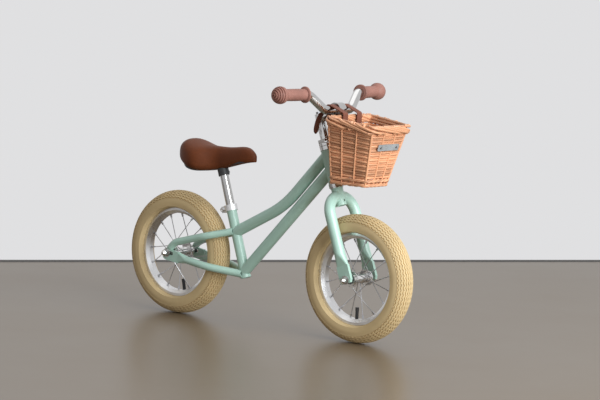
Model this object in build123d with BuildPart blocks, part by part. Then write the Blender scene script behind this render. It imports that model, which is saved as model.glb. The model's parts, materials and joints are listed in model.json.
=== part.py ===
from build123d import *
import os
from math import cos, exp, radians, sin, sqrt, tan

# A child's balance bike. Millimetres, +X forward, +Y to the rider's left, +Z up.
# The origin is on the ground, half way between the two axles.

# Wheels
wheelbase = 573.0
tyre_diameter = 312.0
tyre_width = 62.0
tyre_wall = 3.6
bead_width = 3.0
bead_gap = 0.3
inner_tube_wall = 1.4
tread_facets = 8
tyre_wrap_angle = 100.0
tube_corner_angles = (-95.0, -35.0, 35.0, 95.0)
rim_flange_radius = 112.0
rim_width = 29.0
rim_wall = 1.8
rim_side_height = 6.5
rim_well_radius = 98.0
rim_well_width = 14.0
tube_wall_gap = 0.3
spokes_per_side = 8
spoke_diameter = 2.2
spoke_hole_gap = 0.3
spoke_clearance = 1.7
nipple_side = 3.4
nipple_length = 9.0
nipple_rim_gap = 0.7
valve_diameter = 8.0
valve_hole_gap = 0.2
valve_tip_radius = 78.0
valve_cap_diameter = 9.0
valve_cap_length = 8.0
rear_valve_step = -3.5
front_valve_step = -4.5

# Hubs and axles
axle_diameter = 9.5
axle_gap = 0.05
hub_barrel_diameter = 22.0
hub_flange_diameter = 40.0
hub_flange_thickness = 2.6
hub_flange_offset = 29.0
hub_end_offset = 35.0
hub_end_diameter = 30.0
bearing_cup_diameter = 23.0
bearing_cup_depth = 6.5
spoke_circle_radius = 16.5
cone_diameter = 15.0
cone_length = 11.0
ball_row_width = 4.5
bearing_gap = 0.3
hub_bore_gap = 1.2
dropout_inside = 45.0
dropout_thickness = 8.0
axle_slot_width = 10.0
washer_diameter = 22.0
washer_thickness = 1.6
washer_clearance = 0.6
axle_nut_across_flats = 15.0
axle_nut_length = 8.0
axle_nut_dome_length = 6.5
axle_nut_dome_taper = 30.0

# Frame
head_angle = 69.2
seat_angle = 71.0
seat_foot_gap = 63.6
seat_foot_drop = 40.8
seat_tube_diameter = 25.4
seat_tube_length = 184.0
seat_lip_diameter = 27.5
seat_lip_height = 6.0
seat_slit_width = 2.5
seat_slit_length = 26.0
tube_wall = 1.5
head_tube_wall = 2.3
pressed_edge_share = 0.98
round_edge_share = 0.99
main_tube_diameter = 28.0
top_tube_on_seat = 117.1
top_tube_drop = 10.0
top_tube_corner_ahead = 114.4
top_tube_corner_up = 191.8
top_tube_bend = 290.0
down_tube_on_seat = 16.2
down_tube_rise = 36.0
head_tube_diameter = 34.0
head_tube_length = 84.0
chain_stay_diameter = 19.0
chain_stay_on_seat = 9.3
chain_stay_centre = 46.5
chain_stay_root = 8.0
chain_stay_bend_from_seat = 88.0
chain_stay_bend = 110.0
chain_stay_flat_height = 28.0
chain_stay_flat_end = 38.0
chain_stay_round_start = 62.0
chain_stay_drop = 3.5
seat_stay_diameter = 18.0
seat_stay_on_seat = 119.3
seat_stay_centre = 45.5
seat_stay_root = 7.0
seat_stay_bend_from_seat = 58.0
seat_stay_bend = 58.0
seat_stay_elbow_x = 24.5
seat_stay_elbow_z = 29.4
seat_stay_elbow_bend = 40.0
seat_stay_tip_x = -3.0
seat_stay_tip_z = 2.0
seat_stay_tip_height = 12.0
seat_stay_foot_share = 0.5
axle_slot_ahead = 21.0

# Seat clamp, post and saddle
collar_height = 15.0
collar_wall = 3.2
collar_lip = 2.4
collar_gap = 0.1
collar_ear_reach = 9.0
collar_ear_width = 18.0
collar_bolt_diameter = 5.0
collar_bolt_head_diameter = 9.0
collar_bolt_head_height = 5.0
post_diameter = 22.2
post_gap = 0.08
post_wall = 2.0
post_length = 206.0
post_top = 278.0
socket_diameter = 28.0
socket_depth = 16.0
socket_roof = 11.0
socket_boss_reach = 1.5
socket_boss_diameter = 12.0
saddle_bolt_diameter = 5.0
saddle_bolt_head_diameter = 9.0
saddle_bolt_head_height = 4.0
saddle_tail_back = 127.5
saddle_length = 232.0
saddle_width = 112.0
saddle_nose_width = 36.0
saddle_skirt_drop = 7.3
saddle_tail_skirt_rise = 34.0
saddle_nose_skirt_rise = 37.0
saddle_waist_height = 63.5
saddle_hump_rise = 13.5
saddle_nose_rise = 6.0
saddle_tip_drop = 12.0
saddle_pan_thickness = 5.0
saddle_pan_share = 0.72
saddle_gap = 0.3

# Saddle shape, in shares of its length, width or height
saddle_stations = (0, 0.09, 0.25, 0.42, 0.6, 0.8, 0.94, 1)
saddle_pan_stations = (0.12, 0.3, 0.5, 0.7, 0.9)
saddle_taper_start = 0.286
saddle_taper_run = 0.25
saddle_tail_run = 0.276
saddle_tail_close = 0.85
saddle_nose_start = 0.78
saddle_nose_run = 0.24
saddle_skirt_tail_run = 0.33
saddle_skirt_nose_start = 0.285
saddle_skirt_nose_run = 0.787
saddle_hump_place = 0.135
saddle_hump_spread = 0.155
saddle_nose_place = 0.85
saddle_nose_spread = 0.14
saddle_tip_run = 0.14
saddle_hem_width = 0.86
saddle_shoulder_width = 0.72
saddle_shoulder_drop = 0.12

# Steering
steerer_diameter = 25.4
steerer_bore_gap = 0.08
neck_diameter = 29.0
neck_below_crown = 14.5
neck_above_crown = 29.5
crown_hole_diameter = 6.0
crown_hole_drop = 4.0
fork_leg_diameter = 27.0
fork_tyre_gap = 27.0
fork_crown_rise = 11.0
fork_crown_bend = 44.0
fork_round_end = 64.0
fork_flat_start = 36.0
fork_flat_width = 34.0
fork_tip_low = 8.0
fork_tip_width = 26.0
vent_hole_diameter = 4.0
vent_hole_depth = 4.0
vent_hole_height = 46.0
cup_diameter = 36.0
cup_height = 9.0
cup_skirt_depth = 8.0
cup_press_gap = 0.05
cup_recess_diameter = 32.4
cup_recess_depth = 4.0
ball_ring_diameter = 32.0
ball_ring_bore = 27.0
ball_ring_height = 3.6
top_cone_height = 8.0
lock_nut_across_flats = 33.0
lock_nut_height = 9.0
headset_gap = 0.3
crown_race_height = 2.7
top_cone_edge = 1.2

# Stem and handlebar
quill_diameter = 22.2
quill_insertion = 86.3
quill_rise = 5.5
stem_reach = 59.0
stem_clamp_rise = 58.2
stem_arm_diameter = 21.0
clamp_diameter = 35.0
clamp_width = 26.0
clamp_slit = 3.0
clamp_ear_drop = 14.0
clamp_ear_front = 5.0
clamp_ear_back = 13.0
clamp_ear_width = 18.0
clamp_bolt_diameter = 6.0
clamp_bolt_head_diameter = 10.0
clamp_bolt_head_height = 4.0
expander_bolt_diameter = 8.0
expander_bolt_head_diameter = 14.0
expander_bolt_head_height = 6.0
wedge_length = 26.0
wedge_slope = 35.0
bar_diameter = 22.2
bar_wall = 1.8
bar_gap = 0.08
bar_bend_inner = 50.0
bar_bend_outer = 95.0
bar_rise = 37.5
bar_outer_back = 15.0
bar_end_back = 29.4
bar_end = 204.0
bar_bend_radius = 25.0
grip_start = 4.0
grip_diameter = 28.0
grip_flange_diameter = 39.0
grip_flange_thickness = 3.0
grip_bulb_diameter = 44.0
grip_bulb_length = 18.0
grip_end_thickness = 4.0
grip_gap = 0.1
grip_edge = 3.0

# Basket
basket_rear_gap = 0.5
basket_drop = 7.0
basket_height = 167.0
basket_bottom_depth = 106.0
basket_bottom_rear_width = 108.0
basket_bottom_front_width = 92.0
basket_front_drop = 16.0
basket_top_set_forward = 7.0
basket_top_depth = 139.0
basket_top_rear_width = 180.0
basket_top_front_width = 152.0
basket_wall = 6.0
basket_base = 6.0
basket_bays = (3, 3, 3, 5)
basket_rows = 20
core_inset = 4.0
weave_reach = 1.5
weave_swing = 2.4
weave_row_gap = 0.9
upright_inset = 3.6
upright_diameter = 5.0
foot_band_height = 23.0
foot_rolls = 2
roll_reach = 1.2
roll_gap = 1.4
rim_band_height = 23.0
rim_band_outside = 4.0
rim_band_inside = 3.0
rim_rolls = 3
plate_width = 80.0
plate_height = 16.0
plate_thickness = 1.2
plate_rise = 97.0
plate_gap = 0.05
plate_corner = 3.0
rivet_spacing = 60.0
rivet_diameter = 3.0
rivet_head_diameter = 6.0
rivet_head_height = 1.5
rivet_head_taper = 40.0
rivet_gap = 0.1
strap_spacing = 54.0
strap_width = 18.0
strap_thickness = 2.5
strap_bar_gap = 0.4
strap_corner = 3.0
strap_rim_gap = 1.0
strap_slot_gap = 1.0
strap_tail_length = 62.0
strap_tail_angle = 244.0
buckle_length = 12.0
buckle_frame = 3.0
buckle_gap = 0.4

os.makedirs("parts", exist_ok=True)

# Places worked out from the sizes above
tyre_radius = tyre_diameter / 2
rear_axle = Vector(-wheelbase / 2, 0, tyre_radius)
front_axle = Vector(wheelbase / 2, 0, tyre_radius)
seat_foot = rear_axle + Vector(tyre_radius + seat_foot_gap, 0, -seat_foot_drop)
to_left = Vector(0, 1, 0)
steer_up = Vector(-cos(radians(head_angle)), 0, sin(radians(head_angle)))
steer_ahead = Vector(sin(radians(head_angle)), 0, cos(radians(head_angle)))
seat_up = Vector(-cos(radians(seat_angle)), 0, sin(radians(seat_angle)))
seat_ahead = Vector(sin(radians(seat_angle)), 0, cos(radians(seat_angle)))


def steer_point(ahead, left, up):
    """A point by its distances from the front axle, square to the steering axis and along it."""
    return front_axle + steer_ahead * ahead + to_left * left + steer_up * up


def seat_point(ahead, left, up):
    """A point by its distances from the foot of the seat tube, square to that tube and along it."""
    return seat_foot + seat_ahead * ahead + to_left * left + seat_up * up


def steer_plane(up):
    return Plane(origin=steer_point(0, 0, up), x_dir=steer_ahead, z_dir=steer_up)


def seat_plane(up):
    return Plane(origin=seat_point(0, 0, up), x_dir=seat_ahead, z_dir=seat_up)


def side_plane(origin):
    """A plane that faces the right-hand side, with X ahead and Y up."""
    return Plane(origin=origin, x_dir=(1, 0, 0), z_dir=-to_left)


def rod(plane, diameter, length, mode=Mode.ADD):
    """A round bar, or a round cut, that starts on a plane."""
    with BuildSketch(plane) as section:
        Circle(diameter / 2)
    extrude(section.sketch, amount=length, mode=mode)


def pipe(plane, outside, inside, length):
    """A round tube that starts on a plane."""
    with BuildSketch(plane) as section:
        Circle(outside / 2)
        Circle(inside / 2, mode=Mode.SUBTRACT)
    extrude(section.sketch, amount=length)


def round_as_box(diameter):
    """A round section with the eight edges of a rounded box, so that it lofts into a flat one."""
    RectangleRounded(diameter, diameter, diameter / 2 * round_edge_share)


def save(piece, label):
    piece.part.label = label
    export_step(piece.part, f"parts/{label}.step")


# Frame tubes
steerer_bore = quill_diameter + 2 * steerer_bore_gap
seat_bore = post_diameter + 2 * post_gap
head_bore = head_tube_diameter - 2 * head_tube_wall
fork_crown_height = tyre_radius + fork_tyre_gap + fork_leg_diameter / 2
neck_low = fork_crown_height - neck_below_crown
neck_high = fork_crown_height + neck_above_crown
head_tube_low = neck_high + crown_race_height + headset_gap + cup_height
head_tube_high = head_tube_low + head_tube_length

with BuildPart() as head_tube:
    pipe(steer_plane(head_tube_low), head_tube_diameter, head_bore, head_tube_length)
save(head_tube, "head_tube")

with BuildPart() as seat_tube:
    pipe(seat_plane(0), seat_tube_diameter, seat_bore, seat_tube_length)
    pipe(seat_plane(0), seat_lip_diameter, seat_bore, seat_lip_height)
    with BuildSketch(seat_plane(seat_tube_length)):
        with Locations((-seat_tube_diameter / 2, 0)):
            Rectangle(seat_tube_diameter, seat_slit_width)
    extrude(amount=-seat_slit_length, mode=Mode.SUBTRACT)
save(seat_tube, "seat_tube")

head_cope = steer_plane(head_tube_low - main_tube_diameter / 2)
ahead_of_seat = Plane(origin=seat_foot, x_dir=to_left, z_dir=seat_ahead)
behind_seat = Plane(origin=seat_foot, x_dir=to_left, z_dir=-seat_ahead)

with BuildPart() as top_tube:
    with BuildLine() as top_tube_line:
        FilletPolyline(
            seat_point(0, 0, top_tube_on_seat),
            seat_foot + Vector(top_tube_corner_ahead, 0, top_tube_corner_up),
            steer_point(0, 0, head_tube_high - top_tube_drop),
            radius=top_tube_bend,
        )
    with BuildSketch(Plane(origin=top_tube_line.line @ 0, z_dir=top_tube_line.line % 0)):
        Circle(main_tube_diameter / 2)
        Circle(main_tube_diameter / 2 - tube_wall, mode=Mode.SUBTRACT)
    sweep()
    split(bisect_by=ahead_of_seat, keep=Keep.TOP)
    rod(seat_plane(0), seat_tube_diameter, seat_tube_length, Mode.SUBTRACT)
    rod(head_cope, head_tube_diameter, head_tube_length + main_tube_diameter, Mode.SUBTRACT)
save(top_tube, "top_tube")

down_tube_start = seat_point(0, 0, down_tube_on_seat)
down_tube_run = steer_point(0, 0, head_tube_low + down_tube_rise) - down_tube_start

with BuildPart() as down_tube:
    pipe(
        Plane(origin=down_tube_start, z_dir=down_tube_run),
        main_tube_diameter,
        main_tube_diameter - 2 * tube_wall,
        down_tube_run.length,
    )
    split(bisect_by=ahead_of_seat, keep=Keep.TOP)
    rod(seat_plane(0), seat_tube_diameter, seat_tube_length, Mode.SUBTRACT)
    rod(seat_plane(0), seat_lip_diameter, seat_lip_height, Mode.SUBTRACT)
    rod(head_cope, head_tube_diameter, head_tube_length + main_tube_diameter, Mode.SUBTRACT)
save(down_tube, "down_tube")

# Chain stays, whose pressed ends are the rear dropouts
dropout_centre = dropout_inside + dropout_thickness / 2
chain_stay_seat = seat_point(0, -chain_stay_root, chain_stay_on_seat)
chain_stay_rear = rear_axle + Vector(0, -chain_stay_centre, -chain_stay_drop)
chain_stay_fall = (chain_stay_seat.Z - chain_stay_rear.Z) / (chain_stay_seat.X - chain_stay_rear.X)
chain_stay_run = Vector(1, 0, chain_stay_fall).normalized()


def chain_stay_point(ahead, left):
    """A point on the stay's line in side view, by its distance ahead of the rear axle."""
    return Vector(rear_axle.X + ahead, left, chain_stay_rear.Z + chain_stay_fall * ahead)


def chain_stay_section(ahead, left):
    return Plane(origin=chain_stay_point(ahead, left), x_dir=to_left, z_dir=chain_stay_run)


def axle_slot():
    """The slot, open at the rear, that the rear axle slides in."""
    with Locations((rear_axle.X + axle_slot_ahead / 2 - chain_stay_flat_height / 2, tyre_radius)):
        SlotCenterToCenter(axle_slot_ahead + chain_stay_flat_height - axle_slot_width, axle_slot_width)


chain_stay_bend_place = chain_stay_seat.X - rear_axle.X - chain_stay_bend_from_seat

with BuildPart() as chain_stay_right:
    with BuildSketch(chain_stay_section(chain_stay_flat_end, -dropout_centre)):
        RectangleRounded(dropout_thickness, chain_stay_flat_height, dropout_thickness / 2 * pressed_edge_share)
    with BuildSketch(chain_stay_section(chain_stay_round_start, -chain_stay_centre)):
        round_as_box(chain_stay_diameter)
    loft()
    with BuildLine() as chain_stay_line:
        FilletPolyline(
            chain_stay_point(chain_stay_round_start, -chain_stay_centre),
            chain_stay_point(chain_stay_bend_place, -chain_stay_centre),
            chain_stay_seat,
            radius=chain_stay_bend,
        )
    with BuildSketch(Plane(origin=chain_stay_line.line @ 0, z_dir=chain_stay_line.line % 0)):
        Circle(chain_stay_diameter / 2)
        Circle(chain_stay_diameter / 2 - tube_wall, mode=Mode.SUBTRACT)
    sweep()
    with BuildSketch(side_plane((0, -dropout_inside, 0))):
        with BuildLine():
            Polyline(
                (rear_axle.X, chain_stay_rear.Z + chain_stay_flat_height / 2),
                (rear_axle.X, chain_stay_rear.Z - chain_stay_flat_height / 2),
                (rear_axle.X + chain_stay_flat_end,
                 chain_stay_point(chain_stay_flat_end, 0).Z - chain_stay_flat_height / 2),
                (rear_axle.X + chain_stay_flat_end,
                 chain_stay_point(chain_stay_flat_end, 0).Z + chain_stay_flat_height / 2),
                close=True,
            )
        make_face()
        with Locations((rear_axle.X, chain_stay_rear.Z)):
            Circle(chain_stay_flat_height / 2)
    extrude(amount=dropout_thickness)
    with BuildSketch(side_plane((0, -dropout_inside, 0))):
        axle_slot()
    extrude(amount=dropout_thickness, mode=Mode.SUBTRACT)
    split(bisect_by=behind_seat, keep=Keep.TOP)
    rod(seat_plane(-seat_tube_length / 2), seat_tube_diameter, seat_tube_length, Mode.SUBTRACT)
    rod(seat_plane(0), seat_lip_diameter, seat_lip_height, Mode.SUBTRACT)
save(chain_stay_right, "chain_stay_right")

with BuildPart() as chain_stay_left:
    mirror(chain_stay_right.part, about=Plane.XZ)
save(chain_stay_left, "chain_stay_left")

# Seat stays, which curve down at the rear on to the dropouts
seat_stay_seat = seat_point(0, -seat_stay_root, seat_stay_on_seat)
seat_stay_elbow = rear_axle + Vector(seat_stay_elbow_x, -dropout_centre, seat_stay_elbow_z)
seat_stay_tip = rear_axle + Vector(seat_stay_tip_x, -dropout_centre, seat_stay_tip_z)
seat_stay_bend_x = seat_stay_seat.X - seat_stay_bend_from_seat
seat_stay_share = (seat_stay_bend_x - seat_stay_elbow.X) / (seat_stay_seat.X - seat_stay_elbow.X)
seat_stay_knee = Vector(
    seat_stay_bend_x,
    -seat_stay_centre,
    seat_stay_elbow.Z + seat_stay_share * (seat_stay_seat.Z - seat_stay_elbow.Z),
)
seat_stay_rise = seat_stay_elbow - seat_stay_tip
seat_stay_foot = seat_stay_tip + seat_stay_rise * seat_stay_foot_share

with BuildPart() as seat_stay_right:
    with BuildSketch(Plane(origin=seat_stay_tip, x_dir=to_left, z_dir=seat_stay_rise)):
        RectangleRounded(dropout_thickness, seat_stay_tip_height, dropout_thickness / 2 * pressed_edge_share)
    with BuildSketch(Plane(origin=seat_stay_foot, x_dir=to_left, z_dir=seat_stay_rise)):
        round_as_box(seat_stay_diameter)
    loft()
    with BuildLine() as seat_stay_line:
        FilletPolyline(
            seat_stay_foot,
            seat_stay_elbow,
            seat_stay_knee,
            seat_stay_seat,
            radius=[seat_stay_elbow_bend, seat_stay_bend],
        )
    with BuildSketch(Plane(origin=seat_stay_line.line @ 0, z_dir=seat_stay_line.line % 0)):
        Circle(seat_stay_diameter / 2)
        Circle(seat_stay_diameter / 2 - tube_wall, mode=Mode.SUBTRACT)
    sweep()
    split(bisect_by=behind_seat, keep=Keep.TOP)
    rod(seat_plane(0), seat_tube_diameter, seat_tube_length, Mode.SUBTRACT)
    add(chain_stay_right.part, mode=Mode.SUBTRACT)
    with BuildSketch(side_plane((0, -dropout_inside, 0))):
        with Locations((rear_axle.X, chain_stay_rear.Z)):
            Circle(chain_stay_flat_height / 2)
        axle_slot()
    extrude(amount=seat_stay_diameter, both=True, mode=Mode.SUBTRACT)
    rod(
        side_plane(rear_axle - to_left * (dropout_inside + dropout_thickness)),
        washer_diameter + 2 * washer_clearance,
        seat_stay_diameter,
        Mode.SUBTRACT,
    )
save(seat_stay_right, "seat_stay_right")

with BuildPart() as seat_stay_left:
    mirror(seat_stay_right.part, about=Plane.XZ)
save(seat_stay_left, "seat_stay_left")

# Seat collar with its ears and bolt at the back
collar_low = seat_tube_length - collar_height + collar_lip
collar_bore = seat_tube_diameter + 2 * collar_gap
collar_diameter = collar_bore + 2 * collar_wall
collar_bolt_place = -(collar_diameter + collar_ear_reach) / 2
collar_middle = collar_low + collar_height / 2
collar_bolt_plane = Plane(
    origin=seat_point(collar_bolt_place, -collar_ear_width / 2, collar_middle), z_dir=to_left
)

with BuildPart() as seat_collar:
    pipe(seat_plane(collar_low), collar_diameter, seat_bore, collar_height)
    with BuildSketch(seat_plane(collar_low)):
        with Locations((-(collar_diameter / 2 + collar_ear_reach) / 2, 0)):
            Rectangle(collar_diameter / 2 + collar_ear_reach, collar_ear_width)
        Circle(seat_bore / 2, mode=Mode.SUBTRACT)
    extrude(amount=collar_height)
    rod(seat_plane(collar_low), collar_bore, collar_height - collar_lip, Mode.SUBTRACT)
    with BuildSketch(seat_plane(collar_low)):
        with Locations((-collar_diameter / 2, 0)):
            Rectangle(collar_diameter, seat_slit_width)
    extrude(amount=collar_height, mode=Mode.SUBTRACT)
    rod(collar_bolt_plane, collar_bolt_diameter + 2 * collar_gap, collar_ear_width, Mode.SUBTRACT)
    fillet(seat_collar.edges().filter_by(Axis.Y).group_by(Axis.X)[0], collar_ear_reach / 3)
save(seat_collar, "seat_collar")

with BuildPart() as collar_bolt:
    rod(collar_bolt_plane, collar_bolt_diameter, collar_ear_width)
    rod(collar_bolt_plane, collar_bolt_head_diameter, -collar_bolt_head_height)
    rod(
        collar_bolt_plane.offset(-collar_bolt_head_height),
        collar_bolt_diameter,
        collar_bolt_head_height / 2,
        Mode.SUBTRACT,
    )
    rod(collar_bolt_plane.offset(collar_ear_width), collar_bolt_head_diameter, collar_bolt_head_height / 2)
save(collar_bolt, "collar_bolt")

# Seat post, padded cover, and the pan with its socket and the bolt that holds it on the post
post_low = post_top - post_length
with BuildPart() as seat_post:
    pipe(seat_plane(post_low), post_diameter, post_diameter - 2 * post_wall, post_length)
save(seat_post, "seat_post")


saddle_seat = seat_point(0, 0, post_top)
saddle_tail_x = saddle_seat.X - saddle_tail_back
saddle_skirt_z = saddle_seat.Z - saddle_skirt_drop
saddle_waist_z = saddle_skirt_z + saddle_waist_height


def ease(value):
    """Rises smoothly from 0 to 1 as the value goes from 0 to 1, and stays there."""
    held = min(max(value, 0), 1)
    return held * held * (3 - 2 * held)


def saddle_half_width(share):
    """Half the saddle's width at a share of its length, from the tail to the nose."""
    taper = 1 - ease((share - saddle_taper_start) / saddle_taper_run)
    body = saddle_nose_width + (saddle_width - saddle_nose_width) * taper
    tail = sqrt(1 - max(0, 1 - share / saddle_tail_run) ** 2 * saddle_tail_close)
    nose = sqrt(1 - max(0, (share - saddle_nose_start) / saddle_nose_run) ** 2)
    return body / 2 * tail * nose


def saddle_skirt(share):
    """The height of the cover's lower edge."""
    tail = saddle_tail_skirt_rise * max(0, 1 - share / saddle_skirt_tail_run) ** 2
    nose = saddle_nose_skirt_rise * ease((share - saddle_skirt_nose_start) / saddle_skirt_nose_run)
    return saddle_skirt_z + tail + nose


def saddle_crown(share):
    """The height of the cover's middle line, high at the tail, low at the waist."""
    hump = saddle_hump_rise * exp(-(((share - saddle_hump_place) / saddle_hump_spread) ** 2))
    nose = saddle_nose_rise * exp(-(((share - saddle_nose_place) / saddle_nose_spread) ** 2))
    tail_tip = max(0, 1 - share / saddle_tip_run)
    nose_tip = max(0, 1 - (1 - share) / saddle_tip_run)
    return saddle_waist_z + hump + nose - saddle_tip_drop * (tail_tip**2 + nose_tip**2)


def saddle_plane(share):
    return Plane(origin=(saddle_tail_x + saddle_length * share, 0, 0), x_dir=to_left, z_dir=(1, 0, 0))


def pan_sections(spread, low, high):
    """Sections of the pan along the saddle, grown to each side, between two heights over the skirt."""
    sections = []
    for share in saddle_pan_stations:
        with BuildSketch(saddle_plane(share)) as section:
            with Locations((0, saddle_skirt(share) + (low + high) / 2)):
                Rectangle(2 * (saddle_half_width(share) * saddle_pan_share + spread), high - low)
        sections.append(section.sketch)
    return sections


with BuildPart() as saddle_cover:
    for share in saddle_stations:
        half = saddle_half_width(share)
        low = saddle_skirt(share)
        high = saddle_crown(share)
        hem = half * saddle_hem_width
        shoulder = half * saddle_shoulder_width
        shoulder_z = high - (high - low) * saddle_shoulder_drop
        with BuildSketch(saddle_plane(share)):
            with BuildLine():
                Line((-hem, low), (hem, low))
                ThreePointArc((hem, low), (half, (low + high) / 2), (shoulder, shoulder_z))
                ThreePointArc((shoulder, shoulder_z), (0, high), (-shoulder, shoulder_z))
                ThreePointArc((-shoulder, shoulder_z), (-half, (low + high) / 2), (-hem, low))
            make_face()
    loft()
    loft(
        pan_sections(saddle_gap, -saddle_pan_thickness, saddle_pan_thickness + saddle_gap),
        mode=Mode.SUBTRACT,
    )
save(saddle_cover, "saddle_cover")

socket_low = post_top - socket_depth
socket_bolt_face = socket_diameter / 2 + socket_boss_reach
socket_bolt_plane = Plane(origin=seat_point(0, socket_bolt_face, socket_low + socket_depth / 2), z_dir=-to_left)

with BuildPart() as saddle_pan:
    loft(pan_sections(0, 0, saddle_pan_thickness))
    rod(seat_plane(socket_low), socket_diameter, socket_depth + socket_roof)
    rod(socket_bolt_plane, socket_boss_diameter, socket_bolt_face)
    add(saddle_cover.part, mode=Mode.SUBTRACT)
    rod(seat_plane(socket_low), seat_bore, socket_depth, Mode.SUBTRACT)
    rod(socket_bolt_plane, saddle_bolt_diameter + 2 * collar_gap, socket_bolt_face, Mode.SUBTRACT)
save(saddle_pan, "saddle_pan")

with BuildPart() as saddle_bolt:
    rod(socket_bolt_plane, saddle_bolt_diameter, socket_bolt_face - post_diameter / 2 - collar_gap)
    with BuildSketch(socket_bolt_plane):
        RegularPolygon(saddle_bolt_head_diameter / 2, 6)
    extrude(amount=-saddle_bolt_head_height)
save(saddle_bolt, "saddle_bolt")

# Fork: steerer with its neck, and two legs that curve in to it
lock_nut_low = head_tube_high + cup_height + headset_gap + top_cone_height
steerer_high = lock_nut_low + lock_nut_height

with BuildPart() as steerer:
    pipe(steer_plane(neck_low), neck_diameter, steerer_bore, neck_high - neck_low)
    pipe(steer_plane(neck_high), steerer_diameter, steerer_bore, steerer_high - neck_high)
    rod(
        Plane(origin=steer_point(-neck_diameter, 0, fork_crown_height - crown_hole_drop), z_dir=steer_ahead),
        crown_hole_diameter,
        2 * neck_diameter,
        Mode.SUBTRACT,
    )
save(steerer, "steerer")


def fork_section(up):
    return Plane(origin=steer_point(0, -dropout_centre, up), x_dir=to_left, z_dir=steer_up)


fork_side = Plane(origin=steer_point(0, -dropout_inside, 0), x_dir=steer_ahead, z_dir=-to_left)

with BuildPart() as fork_leg_right:
    with BuildLine() as fork_line:
        FilletPolyline(
            steer_point(0, -dropout_centre, fork_round_end),
            steer_point(0, -dropout_centre, fork_crown_height),
            steer_point(0, 0, fork_crown_height + fork_crown_rise),
            radius=fork_crown_bend,
        )
    with BuildSketch(Plane(origin=fork_line.line @ 0, z_dir=fork_line.line % 0)):
        Circle(fork_leg_diameter / 2)
        Circle(fork_leg_diameter / 2 - tube_wall, mode=Mode.SUBTRACT)
    sweep()
    with BuildSketch(fork_section(fork_flat_start)):
        RectangleRounded(dropout_thickness, fork_flat_width, dropout_thickness / 2 * pressed_edge_share)
    with BuildSketch(fork_section(fork_round_end)):
        round_as_box(fork_leg_diameter)
    loft()
    with BuildSketch(fork_side):
        with BuildLine():
            Polyline(
                (-fork_flat_width / 2, fork_flat_start),
                (-fork_flat_width / 2, 0),
                (-fork_tip_width / 2, -fork_tip_low),
                (fork_tip_width / 2, -fork_tip_low),
                (fork_flat_width / 2, 0),
                (fork_flat_width / 2, fork_flat_start),
                close=True,
            )
        make_face()
        with Locations((0, -fork_tip_low)):
            SlotCenterToCenter(2 * fork_tip_low, axle_slot_width, rotation=90, mode=Mode.SUBTRACT)
    extrude(amount=dropout_thickness)
    rod(
        Plane(origin=steer_point(0, -dropout_inside + vent_hole_depth, vent_hole_height), z_dir=-to_left),
        vent_hole_diameter,
        2 * vent_hole_depth,
        Mode.SUBTRACT,
    )
    rod(steer_plane(neck_low - neck_diameter), neck_diameter, 2 * neck_diameter + neck_high, Mode.SUBTRACT)
save(fork_leg_right, "fork_leg_right")

with BuildPart() as fork_leg_left:
    mirror(fork_leg_right.part, about=Plane.XZ)
save(fork_leg_left, "fork_leg_left")

# Headset: pressed cups, ball rings, crown race, top cone and lock nut
cup_bore = steerer_diameter + 2 * headset_gap
race_bore = steerer_diameter
ring_seat = cup_recess_depth - ball_ring_height


def headset_cup(rim_plane):
    """A cup whose open rim lies on a plane and whose skirt runs on into the head tube."""
    rod(rim_plane, cup_diameter, cup_height)
    rod(rim_plane, head_bore - 2 * cup_press_gap, cup_height + cup_skirt_depth)
    rod(rim_plane, cup_bore, cup_height + cup_skirt_depth, Mode.SUBTRACT)
    rod(rim_plane, cup_recess_diameter, cup_recess_depth, Mode.SUBTRACT)


lower_rim = steer_plane(head_tube_low - cup_height)
upper_rim = Plane(origin=steer_plane(head_tube_high + cup_height).origin, x_dir=steer_ahead, z_dir=-steer_up)

with BuildPart() as lower_cup:
    headset_cup(lower_rim)
save(lower_cup, "lower_cup")

with BuildPart() as upper_cup:
    headset_cup(upper_rim)
save(upper_cup, "upper_cup")

with BuildPart() as ball_rings:
    pipe(lower_rim.offset(ring_seat), ball_ring_diameter, ball_ring_bore, ball_ring_height)
    pipe(upper_rim.offset(ring_seat), ball_ring_diameter, ball_ring_bore, ball_ring_height)
save(ball_rings, "ball_rings")

with BuildPart() as crown_race:
    pipe(steer_plane(neck_high), cup_recess_diameter, race_bore, crown_race_height)
save(crown_race, "crown_race")

with BuildPart() as top_cone:
    pipe(steer_plane(head_tube_high + cup_height + headset_gap), cup_diameter, race_bore, top_cone_height)
    chamfer(top_cone.edges().filter_by(GeomType.CIRCLE).sort_by(SortBy.RADIUS)[-2:], top_cone_edge)
save(top_cone, "top_cone")

with BuildPart() as lock_nut:
    with BuildSketch(steer_plane(lock_nut_low)):
        RegularPolygon(lock_nut_across_flats / 2, 6, major_radius=False)
        Circle(race_bore / 2, mode=Mode.SUBTRACT)
    extrude(amount=lock_nut_height)
save(lock_nut, "lock_nut")

# Quill stem, its expander and its clamp
stem_clamp_height = steerer_high + stem_clamp_rise
quill_top = stem_clamp_height + quill_rise
quill_low = steerer_high - quill_insertion
bar_centre = steer_point(stem_reach, 0, stem_clamp_height)
bar_bore = bar_diameter + 2 * bar_gap
wedge_face = Plane(
    origin=steer_point(0, 0, quill_low),
    z_dir=steer_up * cos(radians(wedge_slope)) + steer_ahead * sin(radians(wedge_slope)),
)
clamp_low = clamp_diameter / 2 + clamp_ear_drop
clamp_ear_length = clamp_ear_front + clamp_ear_back
clamp_side = Plane(origin=bar_centre - to_left * clamp_width / 2, z_dir=to_left)
clamp_under = Plane(origin=bar_centre, x_dir=steer_ahead, z_dir=-steer_up)
arm_start = steer_point(0, 0, stem_clamp_height - quill_rise)
clamp_bolt_plane = Plane(
    origin=steer_point(
        stem_reach - clamp_ear_back, 0, stem_clamp_height - clamp_diameter / 2 - clamp_ear_drop / 2
    ),
    z_dir=steer_ahead,
)

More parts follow.
